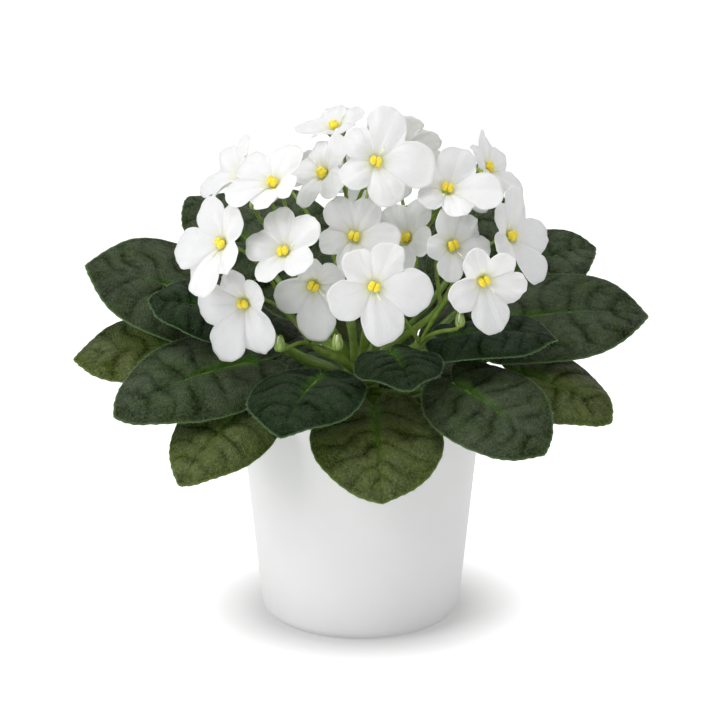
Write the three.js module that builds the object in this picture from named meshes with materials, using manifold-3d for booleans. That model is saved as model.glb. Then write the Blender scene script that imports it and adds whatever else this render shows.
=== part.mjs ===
// A potted African violet: white pot, soil, a rosette of velvety leaves and a dome of white blooms.
// Millimetres, +Z up. The origin is the centre of the pot's flat base, and the front looks along -Y.
import * as THREE from "three";
import Module from "manifold-3d";
import { mergeVertices } from "three/addons/utils/BufferGeometryUtils.js";

const wasm = await Module();
wasm.setup();

// Pot and soil
const POT_HEIGHT = 111;
const POT_RIM_RADIUS = 59.6;
const POT_FOOT_RADIUS = 49;
const POT_FOOT_CORNER = 6;
const POT_WALL = 4;
const POT_FLOOR = 6;
const POT_RIM_BEVEL = 1;
const POT_SIDES = 32;
const SOIL_SIDES = 16;
const SOIL_TOP = 100;
const SOIL_CROWN = 2;
const FIT_GAP = 0.3;

// Corners that lie this near to a straight edge or a flat face after fusing are taken out
const SLIVER = 0.05;

// Crown, the short upright stem that every leaf and flower stalk grows from
const CROWN_RADIUS = 10;
const CROWN_BOTTOM = 84;
const CROWN_TOP = 126;
const CROWN_SIDES = 16;
const CROWN_TAPER = 0.85;

// Leaves
const BLADE_THICKNESS = 1.2;
const ROOT_GAP = 0.9;
const PETIOLE_RADIUS = 2.1;
const PETIOLE_TIP_RADIUS = 1.5;
const PETIOLE_SIDES = 5;
const PETIOLE_STEPS = 5;
const LEAF_TEETH = 16;
const TOOTH_DEPTH = 0.5;
const BLADE_ARCH = 0.09;
const BLADE_CUP = 3.5;
const BLADE_RIPPLE = 1.1;

// Half of a blade's outline, from its tip over a round lobe back to the notch. The first number is a
// share of the length, from notch to tip, and the second one a share of half the width.
const HEART = [
  [1, 0], [0.95, 0.23], [0.86, 0.5], [0.71, 0.78], [0.52, 0.96], [0.31, 1], [0.1, 0.91],
  [-0.07, 0.72], [-0.16, 0.46], [-0.16, 0.22], [-0.08, 0.05], [0, 0],
];

// Blooms
const PETAL_THICKNESS = 0.75;
const PETAL_REACH = 22;
const PETAL_WAVE = 0.45;
const SEAM_SHARE = 0.9;
const EYE_RADIUS = 4.2;
const THROAT_DEPTH = 1.4;
const TUBE_DEPTH = 4;
const CALYX_RADIUS = 5.6;
const CALYX_DEPTH = 3.2;
const SEPAL_VALLEY = 2.2;
const PEDICEL_RADIUS = 0.9;
const PEDUNCLE_RADIUS = 1.7;
const BUD_SLIMNESS = 0.72;
const ANTHER_LENGTH = 5.6;
const ANTHER_RADIUS = 1.5;
const ANTHER_LIFT = 2.6;
const ANTHER_SIDES = 5;
const FILAMENT_STRETCH = 2.2;

// Rows of a petal's grid: how far out, half width, how far the sides fall short, and side lap
const PETAL_ROWS = [
  { out: 0.4, halfWidth: 0.7, tipDrop: 0.02, lap: 0.65 },
  { out: 0.76, halfWidth: 1, tipDrop: 0.06, lap: 1.1 },
  { out: 1, halfWidth: 0.52, tipDrop: 0.12, lap: 1.1 },
];

// Petals of one bloom: angle round the eye, and width as a share of the reach
const PETALS = [
  { angle: 54, width: 0.84 },
  { angle: 126, width: 0.84 },
  { angle: 198, width: 0.84 },
  { angle: 270, width: 0.78 },
  { angle: 342, width: 0.84 },
];

// Each leaf: the notch where its stalk meets the blade, its tip, and the blade's width.
// root is where the stalk leaves the crown, as an angle and a height, and roll turns the blade's
// face to the front.
const LEAVES = [
  { node: "leaf_01", base: [-69, 16, 148], tip: [-135, 18, 170], width: 66, root: [158, 119], roll: 29 },
  { node: "leaf_02", base: [-72, 4, 132], tip: [-140, -2, 127], width: 47, root: [176, 110], roll: 31 },
  { node: "leaf_03", base: [-62, -16, 155], tip: [-102, -20, 162], width: 46, root: [186, 121], roll: 20 },
  { node: "leaf_04", base: [-51, -30, 136], tip: [-116, -64, 119], width: 53, root: [210, 114], roll: 28 },
  { node: "leaf_05", base: [-50, -41, 120], tip: [-85, -80, 91], width: 46, root: [228, 108], roll: 20 },
  { node: "leaf_06", base: [-19, -52, 135], tip: [-37, -96, 120], width: 56, root: [244, 120], roll: 0 },
  { node: "leaf_07", base: [14, -48, 146], tip: [24, -82, 138], width: 42, root: [286, 119], roll: 4 },
  { node: "leaf_08", base: [6, -50, 119], tip: [10, -94, 86], width: 63, root: [274, 110], roll: 0 },
  { node: "leaf_09", base: [45, -48, 130], tip: [85, -90, 108], width: 52, root: [308, 114], roll: 25 },
  { node: "leaf_10", base: [41, -28, 147], tip: [93, -38, 148], width: 52, root: [326, 121], roll: 8 },
  { node: "leaf_11", base: [66, 12, 142], tip: [141, 13, 146], width: 61, root: [8, 115], roll: 30 },
  { node: "leaf_12", base: [65, 44, 153], tip: [118, 60, 169], width: 50, root: [30, 121], roll: 30 },
  { node: "leaf_13", base: [71, -6, 124], tip: [121, -28, 105], width: 49, root: [336, 108], roll: 20 },
  { node: "leaves_left", base: [-48, 54, 164], tip: [-88, 92, 186], width: 46, root: [120, 117], roll: 20 },
  { node: "leaves_left", base: [-42, 46, 123], tip: [-88, 88, 138], width: 54, root: [122, 115], roll: 8 },
  { node: "leaves_left", base: [-28, 44, 146], tip: [-38, 94, 190], width: 52, root: [118, 118], roll: 4 },
  { node: "leaves_left", base: [-24, 28, 117], tip: [-50, 72, 112], width: 38, root: [124, 115], roll: 4 },
  { node: "leaves_right", base: [24, 47, 144], tip: [34, 97, 184], width: 46, root: [68, 117], roll: 4 },
  { node: "leaves_right", base: [44, 42, 121], tip: [89, 84, 140], width: 54, root: [66, 112], roll: 8 },
  { node: "leaves_right", base: [3, 52, 116], tip: [6, 104, 148], width: 52, root: [70, 110], roll: 0 },
  { node: "leaves_right", base: [30, 16, 112], tip: [64, 46, 130], width: 40, root: [64, 111], roll: 4 },
  { node: "leaves_right", base: [45, 40, 161], tip: [67, 70, 198], width: 40, root: [62, 115], roll: 4 },
];

// Each bloom: its eye, the way it faces (angle from +X and rise, in degrees), how far its petals cup,
// and the number of the flower stalk that it is on. lean is how far each of its five petals is turned
// from its regular place, upper right first and anticlockwise, and reach is their length from the eye.
const BLOOMS = [
  { eye: [-56, -2, 219], faces: [194, 33], cup: 12, stem: 0,
    lean: [36, 36, 36, 36, 36], reach: [19, 18, 21, 22, 17] },
  { eye: [-40, -52, 228], faces: [235, 48], cup: 5, stem: 0,
    lean: [30, 34, 19, 12, 6], reach: [21, 22, 23, 17, 16] },
  { eye: [-12, -6, 244], faces: [215, 66], cup: 5, stem: 1,
    lean: [25, 14, 18, 20, 8], reach: [16, 18, 20, 16, 16] },
  { eye: [-17, -27, 227], faces: [220, 28], cup: 6, stem: 1,
    lean: [12, -4, -8, -8, -2], reach: [20, 16, 17, 19, 20] },
  { eye: [7, -45, 237], faces: [274, 18], cup: 4, stem: 1,
    lean: [20, 6, 14, 18, 11], reach: [26, 19, 19, 22, 28] },
  { eye: [20, 8, 231], faces: [72, 34], cup: 4, stem: 2,
    lean: [-28, -17, -39, -28, -28], reach: [18, 22, 20, 19, 19] },
  { eye: [40, -39, 222], faces: [285, 48], cup: 5, stem: 2,
    lean: [6, 24, 10, 10, 0], reach: [23, 18, 17, 18, 26] },
  { eye: [60, -1, 223], faces: [340, 34], cup: 6, stem: 2,
    lean: [13, 14, 16, 22, 22], reach: [18, 18, 19, 21, 17] },
  { eye: [-64, -50, 199], faces: [224, 20], cup: 6, stem: 3,
    lean: [4, -4, 5, -7, -11], reach: [21, 22, 25, 27, 19] },
  { eye: [-35, -60, 198], faces: [238, 32], cup: 6, stem: 3,
    lean: [-7, -14, -18, -16, -4], reach: [22, 21, 19, 18, 20] },
  { eye: [-3, -48, 202], faces: [266, 26], cup: 4, stem: 4,
    lean: [10, -2, -2, -6, 8], reach: [19, 20, 17, 18, 22] },
  { eye: [22, -30, 196], faces: [226, 30], cup: 6, stem: 4,
    lean: [20, 14, 12, 30, 16], reach: [20, 19, 18, 19, 19] },
  { eye: [42, -46, 197], faces: [300, 20], cup: 5, stem: 5,
    lean: [-14, -26, -18, -26, -2], reach: [18, 18, 15, 18, 20] },
  { eye: [70, -25, 196], faces: [324, 24], cup: 6, stem: 5,
    lean: [14, -2, 2, 14, 0], reach: [23, 19, 20, 26, 22] },
  { eye: [-54, -48, 170], faces: [236, 0], cup: 6, stem: 6,
    lean: [-14, -12, -10, -17, -32], reach: [17, 17, 25, 29, 26] },
  { eye: [-22, -45, 178], faces: [264, -4], cup: 5, stem: 6,
    lean: [-18, -28, 8, 6, -2], reach: [17, 14, 20, 26, 20] },
  { eye: [6, -73, 185], faces: [274, 10], cup: 4, stem: 7,
    lean: [12, -2, 7, 13, 8], reach: [22, 20, 23, 27, 27] },
  { eye: [56, -69, 187], faces: [288, -3], cup: 5, stem: 7,
    lean: [-12, -10, 14, 10, 4], reach: [17, 17, 19, 25, 21] },
  { eye: [-38, 38, 209], faces: [125, 35], cup: 4, stem: 8,
    lean: [0, 0, 0, 0, 0], reach: [20, 20, 22, 24, 22] },
  { eye: [4, 48, 206], faces: [88, 28], cup: 4, stem: 8,
    lean: [12, 12, 12, 12, 12], reach: [21, 20, 23, 25, 22] },
  { eye: [46, 32, 210], faces: [45, 32], cup: 4, stem: 9,
    lean: [-10, -10, -10, -10, -10], reach: [20, 20, 22, 24, 22] },
];

// Flower stalks: where each one leaves the crown's top (angle, radius) and where it branches
const STEMS = [
  { from: [150, 5], fork: [-36, 2, 178] },
  { from: [200, 3], fork: [-8, -6, 190] },
  { from: [20, 5], fork: [26, -2, 184] },
  { from: [210, 5], fork: [-34, -22, 158] },
  { from: [270, 4], fork: [4, -20, 164] },
  { from: [320, 5], fork: [38, -22, 162] },
  { from: [240, 5], fork: [-24, -32, 146] },
  { from: [300, 5], fork: [28, -36, 148] },
  { from: [110, 5], fork: [-12, 22, 172] },
  { from: [60, 5], fork: [26, 18, 170] },
];

// Unopened buds: the tip's place, its length, and the flower stalk it is on
const BUDS = [
  { at: [-38, -60, 152], length: 7, stem: 6 },
  { at: [-11, -58, 152], length: 7, stem: 6 },
  { at: [-50, -30, 212], length: 6, stem: 0 },
  { at: [46, -58, 163], length: 6, stem: 7 },
];

// Materials
const pot_white = new THREE.MeshStandardMaterial({ color: "#ecebe9", roughness: 0.45, metalness: 0 });
const soil_brown = new THREE.MeshStandardMaterial({ color: "#2b211a", roughness: 0.95, metalness: 0 });
const leaf_green = new THREE.MeshStandardMaterial({ color: "#2f3d2c", roughness: 0.7, metalness: 0 });
const stalk_green = new THREE.MeshStandardMaterial({ color: "#7f9a4e", roughness: 0.6, metalness: 0 });
const petal_white = new THREE.MeshStandardMaterial({ color: "#f4f4f2", roughness: 0.6, metalness: 0 });
const anther_yellow = new THREE.MeshStandardMaterial({ color: "#f2cf1d", roughness: 0.5, metalness: 0 });

const UP = new THREE.Vector3(0, 0, 1);

function vector(place) {
  return new THREE.Vector3(...place);
}

function crownRadius(z) {
  return CROWN_RADIUS * THREE.MathUtils.mapLinear(z, CROWN_BOTTOM, CROWN_TOP, 1, CROWN_TAPER);
}

function geometryOf(points, triangles) {
  const geometry = new THREE.BufferGeometry();
  const positions = points.flatMap((point) => [point.x, point.y, point.z]);
  geometry.setAttribute("position", new THREE.Float32BufferAttribute(positions, 3));
  geometry.setIndex(triangles.flat());
  return geometry;
}

function toSolid(geometry) {
  const bare = geometry.clone();
  bare.deleteAttribute("normal");
  bare.deleteAttribute("uv");
  const merged = mergeVertices(bare, 1e-4);
  const vertProperties = new Float32Array(merged.attributes.position.array);
  const triVerts = new Uint32Array(merged.index.array);
  return new wasm.Manifold(new wasm.Mesh({ numProp: 3, vertProperties, triVerts }));
}

function fused(geometries) {
  const solids = geometries.map(toSolid);
  const whole = solids.reduce((sum, solid) => sum.add(solid)).asOriginal().simplify(SLIVER);
  const { vertProperties, triVerts } = whole.getMesh();
  const geometry = new THREE.BufferGeometry();
  geometry.setAttribute("position", new THREE.Float32BufferAttribute(vertProperties, 3));
  geometry.setIndex(Array.from(triVerts));
  return geometry;
}

// A sheet of triangles thickened behind its face. rim lists its outline's points anticlockwise.
function thickened(face, triangles, rim, thickness, backOf) {
  const sheet = geometryOf(face, triangles);
  sheet.computeVertexNormals();
  const normals = sheet.attributes.normal;
  const back = face.map((point, i) => {
    const normal = new THREE.Vector3().fromBufferAttribute(normals, i);
    return backOf?.(i) ?? point.clone().addScaledVector(normal, -thickness);
  });
  const shift = face.length;
  const behind = triangles.map(([a, b, c]) => [a + shift, c + shift, b + shift]);
  const edge = rim.flatMap((a, i) => {
    const b = rim[(i + 1) % rim.length];
    return [[a, a + shift, b + shift], [a, b + shift, b]];
  });
  return geometryOf([...face, ...back], [...triangles, ...behind, ...edge]);
}

// A tube along a curve, with capped ends and a radius that changes along it
function tube(curve, steps, sides, radiusAt) {
  const frames = curve.computeFrenetFrames(steps);
  const points = [];
  const triangles = [];
  for (let i = 0; i <= steps; i += 1) {
    const centre = curve.getPointAt(i / steps);
    for (let j = 0; j < sides; j += 1) {
      const turn = (2 * Math.PI * j) / sides;
      const radius = radiusAt(i / steps);
      points.push(centre.clone()
        .addScaledVector(frames.normals[i], radius * Math.cos(turn))
        .addScaledVector(frames.binormals[i], radius * Math.sin(turn)));
    }
  }
  for (let i = 0; i < steps; i += 1) {
    for (let j = 0; j < sides; j += 1) {
      const a = i * sides + j;
      const b = i * sides + ((j + 1) % sides);
      triangles.push([a, b, b + sides], [a, b + sides, a + sides]);
    }
  }
  const last = steps * sides;
  for (let j = 1; j < sides - 1; j += 1) {
    triangles.push([0, j + 1, j], [last, last + j, last + j + 1]);
  }
  return geometryOf(points, triangles);
}

function potRadius(z) {
  return THREE.MathUtils.mapLinear(z, POT_FOOT_CORNER, POT_HEIGHT, POT_FOOT_RADIUS, POT_RIM_RADIUS);
}

// The pot's turned profile: a rounded foot, a straight tapered wall and a softened rim
function potGeometry() {
  const profile = [new THREE.Vector2(0, 0)];
  for (let i = 0; i <= 3; i += 1) {
    const turn = (i / 3) * (Math.PI / 2);
    const inward = POT_FOOT_CORNER * (1 - Math.sin(turn));
    profile.push(new THREE.Vector2(POT_FOOT_RADIUS - inward, POT_FOOT_CORNER * (1 - Math.cos(turn))));
  }
  const shoulder = POT_HEIGHT - POT_RIM_BEVEL;
  profile.push(new THREE.Vector2(potRadius(shoulder), shoulder));
  profile.push(new THREE.Vector2(POT_RIM_RADIUS - POT_RIM_BEVEL, POT_HEIGHT));
  profile.push(new THREE.Vector2(POT_RIM_RADIUS - POT_WALL + POT_RIM_BEVEL, POT_HEIGHT));
  profile.push(new THREE.Vector2(POT_RIM_RADIUS - POT_WALL, shoulder));
  profile.push(new THREE.Vector2(potRadius(POT_FLOOR) - POT_WALL, POT_FLOOR));
  profile.push(new THREE.Vector2(0, POT_FLOOR));
  return new THREE.LatheGeometry(profile, POT_SIDES).rotateX(Math.PI / 2);
}

// Soil fills the pot and has a plain hole for the crown
function soilGeometry() {
  const inner = (z) => potRadius(z) - POT_WALL - FIT_GAP;
  const hole = CROWN_RADIUS + FIT_GAP;
  const bottom = POT_FLOOR + FIT_GAP;
  const profile = [
    new THREE.Vector2(0, bottom),
    new THREE.Vector2(inner(bottom), bottom),
    new THREE.Vector2(inner(SOIL_TOP), SOIL_TOP),
    new THREE.Vector2(inner(SOIL_TOP) * 0.6, SOIL_TOP + SOIL_CROWN * 0.7),
    new THREE.Vector2(hole, SOIL_TOP + SOIL_CROWN),
    new THREE.Vector2(hole, CROWN_BOTTOM - FIT_GAP),
    new THREE.Vector2(0, CROWN_BOTTOM - FIT_GAP),
  ];
  return new THREE.LatheGeometry(profile, SOIL_SIDES).rotateX(Math.PI / 2);
}

const heartCurve = new THREE.CatmullRomCurve3(HEART.map(([x, y]) => new THREE.Vector3(x, y, 0)));

// Heart-shaped outline of a blade: x runs from the notch to the tip, y across, and turn 0 is the tip
function bladeOutline(turn, length, width) {
  const side = Math.abs(turn > Math.PI ? turn - 2 * Math.PI : turn);
  const point = heartCurve.getPointAt(side / Math.PI);
  const half = 0.5 * width * point.y;
  return [length * point.x, turn > Math.PI ? -half : half];
}

function bladeGeometry(leaf, seed) {
  const base = vector(leaf.base);
  const along = vector(leaf.tip).sub(base);
  const length = along.length();
  along.normalize();
  const across = new THREE.Vector3().crossVectors(UP, along).normalize();
  across.applyAxisAngle(along, THREE.MathUtils.degToRad(leaf.roll) * Math.sign(along.x));
  const out = new THREE.Vector3().crossVectors(along, across);
  const centre = length * 0.36;
  const face = [];
  const place = (share, turn, tooth) => {
    const [edgeX, edgeY] = bladeOutline(turn, length, leaf.width);
    const x = centre + (edgeX - centre) * share * tooth;
    const y = edgeY * share * tooth;
    const t = THREE.MathUtils.clamp(x / length, 0, 1);
    const ripple = BLADE_RIPPLE * share * share * Math.sin(5 * turn + seed);
    const arch = BLADE_ARCH * length * 4 * t * (1 - t);
    const z = arch - BLADE_CUP * ((2 * y) / leaf.width) ** 2 + ripple;
    face.push(base.clone().addScaledVector(along, x).addScaledVector(across, y).addScaledVector(out, z));
  };
  place(0, 0, 1);
  const rings = [[LEAF_TEETH / 2, 0.38], [LEAF_TEETH, 0.72], [LEAF_TEETH * 2, 1]];
  const starts = [1, 1 + LEAF_TEETH / 2, 1 + LEAF_TEETH * 1.5];
  for (const [count, share] of rings) {
    for (let i = 0; i < count; i += 1) {
      const tooth = share === 1 && i % 2 === 1 ? 1 - (2 * TOOTH_DEPTH) / leaf.width : 1;
      place(share, (2 * Math.PI * i) / count, tooth);
    }
  }
  const triangles = [];
  for (let i = 0; i < rings[0][0]; i += 1) {
    triangles.push([0, 1 + i, 1 + ((i + 1) % rings[0][0])]);
  }
  for (let k = 0; k < 2; k += 1) {
    const count = rings[k][0];
    for (let i = 0; i < count; i += 1) {
      const a = starts[k] + i;
      const b = starts[k] + ((i + 1) % count);
      const c = starts[k + 1] + 2 * i;
      const e = starts[k + 1] + ((2 * i + 2) % (2 * count));
      triangles.push([a, c, c + 1], [a, c + 1, b], [b, c + 1, e]);
    }
  }
  const rim = Array.from({ length: rings[2][0] }, (_, i) => starts[2] + i);
  return thickened(face, triangles, rim, BLADE_THICKNESS);
}

// The stalk runs out from the crown, turns into the blade at its notch and goes on as the midrib
function petioleGeometry(leaf) {
  const base = vector(leaf.base);
  const along = vector(leaf.tip).sub(base);
  const length = along.length();
  const lift = BLADE_ARCH * length * 0.5 - BLADE_THICKNESS;
  along.normalize();
  const start = THREE.MathUtils.degToRad(leaf.root[0]);
  const height = leaf.root[1];
  const heading = new THREE.Vector3(Math.cos(start), Math.sin(start), 0);
  const root = heading.clone().multiplyScalar(crownRadius(height) + ROOT_GAP).setZ(height);
  const reach = base.distanceTo(root);
  const below = new THREE.Vector3(0, 0, -1.6);
  const path = new THREE.CatmullRomCurve3([
    root,
    root.clone().addScaledVector(heading, reach * 0.3).setZ(height + (base.z - height) * 0.22),
    root.clone().lerp(base, 0.68).add(new THREE.Vector3(0, 0, -1)),
    base.clone().addScaledVector(along, 2).add(below),
    base.clone().addScaledVector(along, length * 0.16).add(new THREE.Vector3(0, 0, lift)),
  ]);
  const radiusAt = (t) => THREE.MathUtils.lerp(PETIOLE_RADIUS, PETIOLE_TIP_RADIUS, t) * (t < 1 ? 1 : 0.5);
  return tube(path, PETIOLE_STEPS, PETIOLE_SIDES, radiusAt);
}

// A bloom's own frame: Z is the way it faces, Y the middle of its two upper petals
function bloomMatrix(bloom) {
  const [turn, lift] = bloom.faces.map(THREE.MathUtils.degToRad);
  const flat = Math.cos(lift);
  const facing = new THREE.Vector3(Math.cos(turn) * flat, Math.sin(turn) * flat, Math.sin(lift));
  const side = new THREE.Vector3().crossVectors(UP, facing).normalize();
  const upward = new THREE.Vector3().crossVectors(facing, side);
  return new THREE.Matrix4().makeBasis(side, upward, facing).setPosition(vector(bloom.eye));
}

// Five petals grown together round the eye. Each petal is a grid of 4 points across and 3 rows out,
// and neighbours meet on a seam midway between their directions.
function bloomGeometry(bloom, seed) {
  const turns = PETALS.map(({ angle }, p) => THREE.MathUtils.degToRad(angle + bloom.lean[p]));
  const seams = turns.map((turn, p) => (turn + (p > 0 ? turns[p - 1] : turns[4] - 2 * Math.PI)) / 2);
  seams.push(seams[0] + 2 * Math.PI);
  const face = [new THREE.Vector3(0, 0, -THROAT_DEPTH)];
  const triangles = [];
  const rim = [];
  const ringPoint = (k) => 1 + (k % 15);
  for (let k = 0; k < 15; k += 1) {
    const p = Math.floor(k / 3);
    const turn = THREE.MathUtils.lerp(seams[p], seams[p + 1], (k % 3) / 3);
    face.push(new THREE.Vector3(Math.cos(turn), Math.sin(turn), 0).multiplyScalar(EYE_RADIUS));
    triangles.push([0, ringPoint(k), ringPoint(k + 1)]);
  }
  PETALS.forEach((petal, p) => {
    const turn = turns[p];
    const length = bloom.reach[p];
    const grid = [[0, 1, 2, 3].map((j) => ringPoint(p * 3 + j))];
    PETAL_ROWS.forEach((row, r) => {
      grid.push([-1, -1 / 3, 1 / 3, 1].map((u) => {
        const out = row.out - row.tipDrop * u * u;
        const room = u < 0 ? turn - seams[p] : seams[p + 1] - turn;
        const limit = length * out * Math.tan(room) * SEAM_SHARE;
        const sideways = u * Math.min(row.halfWidth * petal.width * length * 0.5, limit);
        const far = (length * out) / PETAL_REACH;
        const lift = bloom.cup * (1.5 * far - 0.5 * far * far);
        const wave = PETAL_WAVE * row.out * Math.sin(2.2 * u + p * 1.7 + seed);
        face.push(new THREE.Vector3(
          length * out * Math.cos(turn) - sideways * Math.sin(turn),
          length * out * Math.sin(turn) + sideways * Math.cos(turn),
          lift + row.lap * u + wave,
        ));
        return face.length - 1;
      }));
    });
    for (let r = 0; r < PETAL_ROWS.length; r += 1) {
      for (let j = 0; j < 3; j += 1) {
        const [a, b] = [grid[r][j], grid[r][j + 1]];
        const [c, d] = [grid[r + 1][j], grid[r + 1][j + 1]];
        triangles.push(...(j === 0 ? [[a, c, b], [b, c, d]] : [[a, c, d], [a, d, b]]));
      }
    }
    rim.push(...grid.slice(0, 3).map((row) => row[0]), ...grid[3], grid[2][3], grid[1][3]);
  });
  const tubeEnd = new THREE.Vector3(0, 0, -TUBE_DEPTH);
  const backOf = (i) => (i === 0 ? tubeEnd : undefined);
  return thickened(face, triangles, rim, PETAL_THICKNESS, backOf).applyMatrix4(bloomMatrix(bloom));
}

// Two joined yellow lobes lying across the eye, drawn down towards the throat by their filaments
function anthersGeometry(bloom) {
  const profile = [
    new THREE.Vector2(0, -0.5),
    new THREE.Vector2(1, -0.27),
    new THREE.Vector2(0.66, 0),
    new THREE.Vector2(1, 0.27),
    new THREE.Vector2(0, 0.5),
  ].map((point) => new THREE.Vector2(point.x * ANTHER_RADIUS, point.y * ANTHER_LENGTH));
  const geometry = new THREE.LatheGeometry(profile, ANTHER_SIDES).rotateZ(Math.PI / 2);
  const places = geometry.attributes.position;
  for (let i = 0; i < places.count; i += 1) {
    const height = places.getZ(i);
    places.setZ(i, ANTHER_LIFT + (height < 0 ? height * FILAMENT_STRETCH : height));
  }
  return geometry.applyMatrix4(bloomMatrix(bloom));
}

// A star of five green sepals behind the petals
function calyxGeometry(bloom) {
  const points = [new THREE.Vector3(0, 0, -TUBE_DEPTH - FIT_GAP)];
  points.push(new THREE.Vector3(0, 0, -TUBE_DEPTH - CALYX_DEPTH));
  const triangles = [];
  for (let k = 0; k < 10; k += 1) {
    const radius = k % 2 === 0 ? CALYX_RADIUS : SEPAL_VALLEY;
    const height = k % 2 === 0 ? -TUBE_DEPTH + 0.6 : -TUBE_DEPTH - 0.5;
    const turn = (Math.PI * k) / 5;
    points.push(new THREE.Vector3(radius * Math.cos(turn), radius * Math.sin(turn), height));
    const next = 2 + ((k + 1) % 10);
    triangles.push([0, 2 + k, next], [1, next, 2 + k]);
  }
  return geometryOf(points, triangles).applyMatrix4(bloomMatrix(bloom));
}

function stalkTube(from, first, second, to, radius, steps, sides) {
  const path = new THREE.CubicBezierCurve3(from, first, second, to);
  return tube(path, steps, sides, (t) => radius * (1.2 - 0.4 * t));
}

function flowerStalksGeometry() {
  const height = CROWN_TOP - CROWN_BOTTOM;
  const crown = new THREE.CylinderGeometry(CROWN_RADIUS * CROWN_TAPER, CROWN_RADIUS, height, CROWN_SIDES);
  const pieces = [crown.rotateX(Math.PI / 2).translate(0, 0, (CROWN_TOP + CROWN_BOTTOM) / 2)];
  for (const stem of STEMS) {
    const turn = THREE.MathUtils.degToRad(stem.from[0]);
    const from = new THREE.Vector3(Math.cos(turn), Math.sin(turn), 0).multiplyScalar(stem.from[1]);
    from.setZ(CROWN_TOP - 4);
    const fork = vector(stem.fork);
    const first = from.clone().lerp(fork, 0.3).setZ(from.z + (fork.z - from.z) * 0.5);
    const second = from.clone().lerp(fork, 0.85).setZ(from.z + (fork.z - from.z) * 0.7);
    pieces.push(stalkTube(from, first, second, fork, PEDUNCLE_RADIUS, 4, 5));
  }
  for (const bloom of BLOOMS) {
    const matrix = bloomMatrix(bloom);
    const neck = new THREE.Vector3(0, 0, -TUBE_DEPTH - CALYX_DEPTH + 0.6).applyMatrix4(matrix);
    const behind = new THREE.Vector3(0, 0, -TUBE_DEPTH - CALYX_DEPTH - 12).applyMatrix4(matrix);
    const fork = vector(STEMS[bloom.stem].fork);
    const low = fork.clone().add(new THREE.Vector3(0, 0, -PEDUNCLE_RADIUS));
    const rise = fork.clone().lerp(behind, 0.3).add(new THREE.Vector3(0, 0, 4));
    pieces.push(stalkTube(low, rise, behind, neck, PEDICEL_RADIUS, 3, 4));
    pieces.push(calyxGeometry(bloom));
  }
  for (const bud of BUDS) {
    const at = vector(bud.at);
    const fork = vector(STEMS[bud.stem].fork);
    const low = fork.clone().add(new THREE.Vector3(0, 0, -PEDUNCLE_RADIUS));
    const rise = fork.clone().lerp(at, 0.4).add(new THREE.Vector3(0, 0, 5));
    const under = at.clone().add(new THREE.Vector3(0, 0, -6));
    pieces.push(stalkTube(low, rise, under, at, PEDICEL_RADIUS, 3, 4));
    const knob = new THREE.SphereGeometry(bud.length / 2, 5, 4).rotateX(Math.PI / 2);
    pieces.push(knob.scale(BUD_SLIMNESS, BUD_SLIMNESS, 1).translate(at.x, at.y, at.z + bud.length * 0.3));
  }
  return fused(pieces);
}

const violet = new THREE.Group();

function add(name, geometry, material) {
  const mesh = new THREE.Mesh(geometry, material);
  mesh.name = name;
  violet.add(mesh);
}

add("pot", potGeometry(), pot_white);
add("soil", soilGeometry(), soil_brown);
add("flower_stalks", flowerStalksGeometry(), stalk_green);
for (const node of new Set(LEAVES.map((leaf) => leaf.node))) {
  const own = LEAVES.filter((leaf) => leaf.node === node);
  const pieces = own.flatMap((leaf) => [bladeGeometry(leaf, LEAVES.indexOf(leaf)), petioleGeometry(leaf)]);
  add(node, fused(pieces), leaf_green);
}
BLOOMS.forEach((bloom, i) => {
  const number = String(i + 1).padStart(2, "0");
  add(`bloom_${number}`, bloomGeometry(bloom, i), petal_white);
  add(`anthers_${number}`, anthersGeometry(bloom), anther_yellow);
});

export default violet;
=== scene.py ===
# %% [markdown]
# # A potted African violet
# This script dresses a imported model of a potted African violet: a smooth white pot, a rosette of velvety
# leaves and a dome of white blooms. Every shape is a formula worked out on whole arrays of points, in
# millimetres, in the model's own frame. The pot stands on z = 0 and the front of the plant looks along -Y.

import math

import bpy
import numpy as np
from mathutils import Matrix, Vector


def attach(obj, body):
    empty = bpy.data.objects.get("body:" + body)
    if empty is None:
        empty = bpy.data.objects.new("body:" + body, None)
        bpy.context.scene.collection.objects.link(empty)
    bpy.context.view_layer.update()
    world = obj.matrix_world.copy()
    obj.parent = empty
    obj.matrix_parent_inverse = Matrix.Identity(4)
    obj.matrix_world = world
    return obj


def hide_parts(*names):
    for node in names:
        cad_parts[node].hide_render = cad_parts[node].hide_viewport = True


MM = 0.001
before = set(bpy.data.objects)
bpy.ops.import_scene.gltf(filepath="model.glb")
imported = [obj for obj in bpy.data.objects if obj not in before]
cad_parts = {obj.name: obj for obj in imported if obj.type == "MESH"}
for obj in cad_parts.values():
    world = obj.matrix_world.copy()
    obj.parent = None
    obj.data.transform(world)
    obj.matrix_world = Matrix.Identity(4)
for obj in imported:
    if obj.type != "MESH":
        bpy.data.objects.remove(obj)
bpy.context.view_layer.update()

# %% [markdown]
# ## Camera
# The photograph is a studio shot from about one and a half metres, looking down a little. A long lens at
# that distance gives the pot's sides the same slope, and its foot the same curve, as in the picture.

# %% Place the camera
CAMERA_DOWN = math.radians(17)
CAMERA_DISTANCE = 1.5
CAMERA_AIM = Vector((-0.0004, 0, 0.1274))
LENS = 154.3
SENSOR = 36

camera_data = bpy.data.cameras.new("camera")
camera_data.lens = LENS
camera_data.sensor_width = SENSOR
camera_data.clip_end = 20
camera = bpy.data.objects.new("camera", camera_data)
camera.rotation_euler = (math.pi / 2 - CAMERA_DOWN, 0, 0)
looking = Vector((0, math.cos(CAMERA_DOWN), -math.sin(CAMERA_DOWN)))
camera.location = CAMERA_AIM - CAMERA_DISTANCE * looking
bpy.context.scene.collection.objects.link(camera)
bpy.context.scene.camera = camera
print("camera at", tuple(round(v, 3) for v in camera.location))

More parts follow.
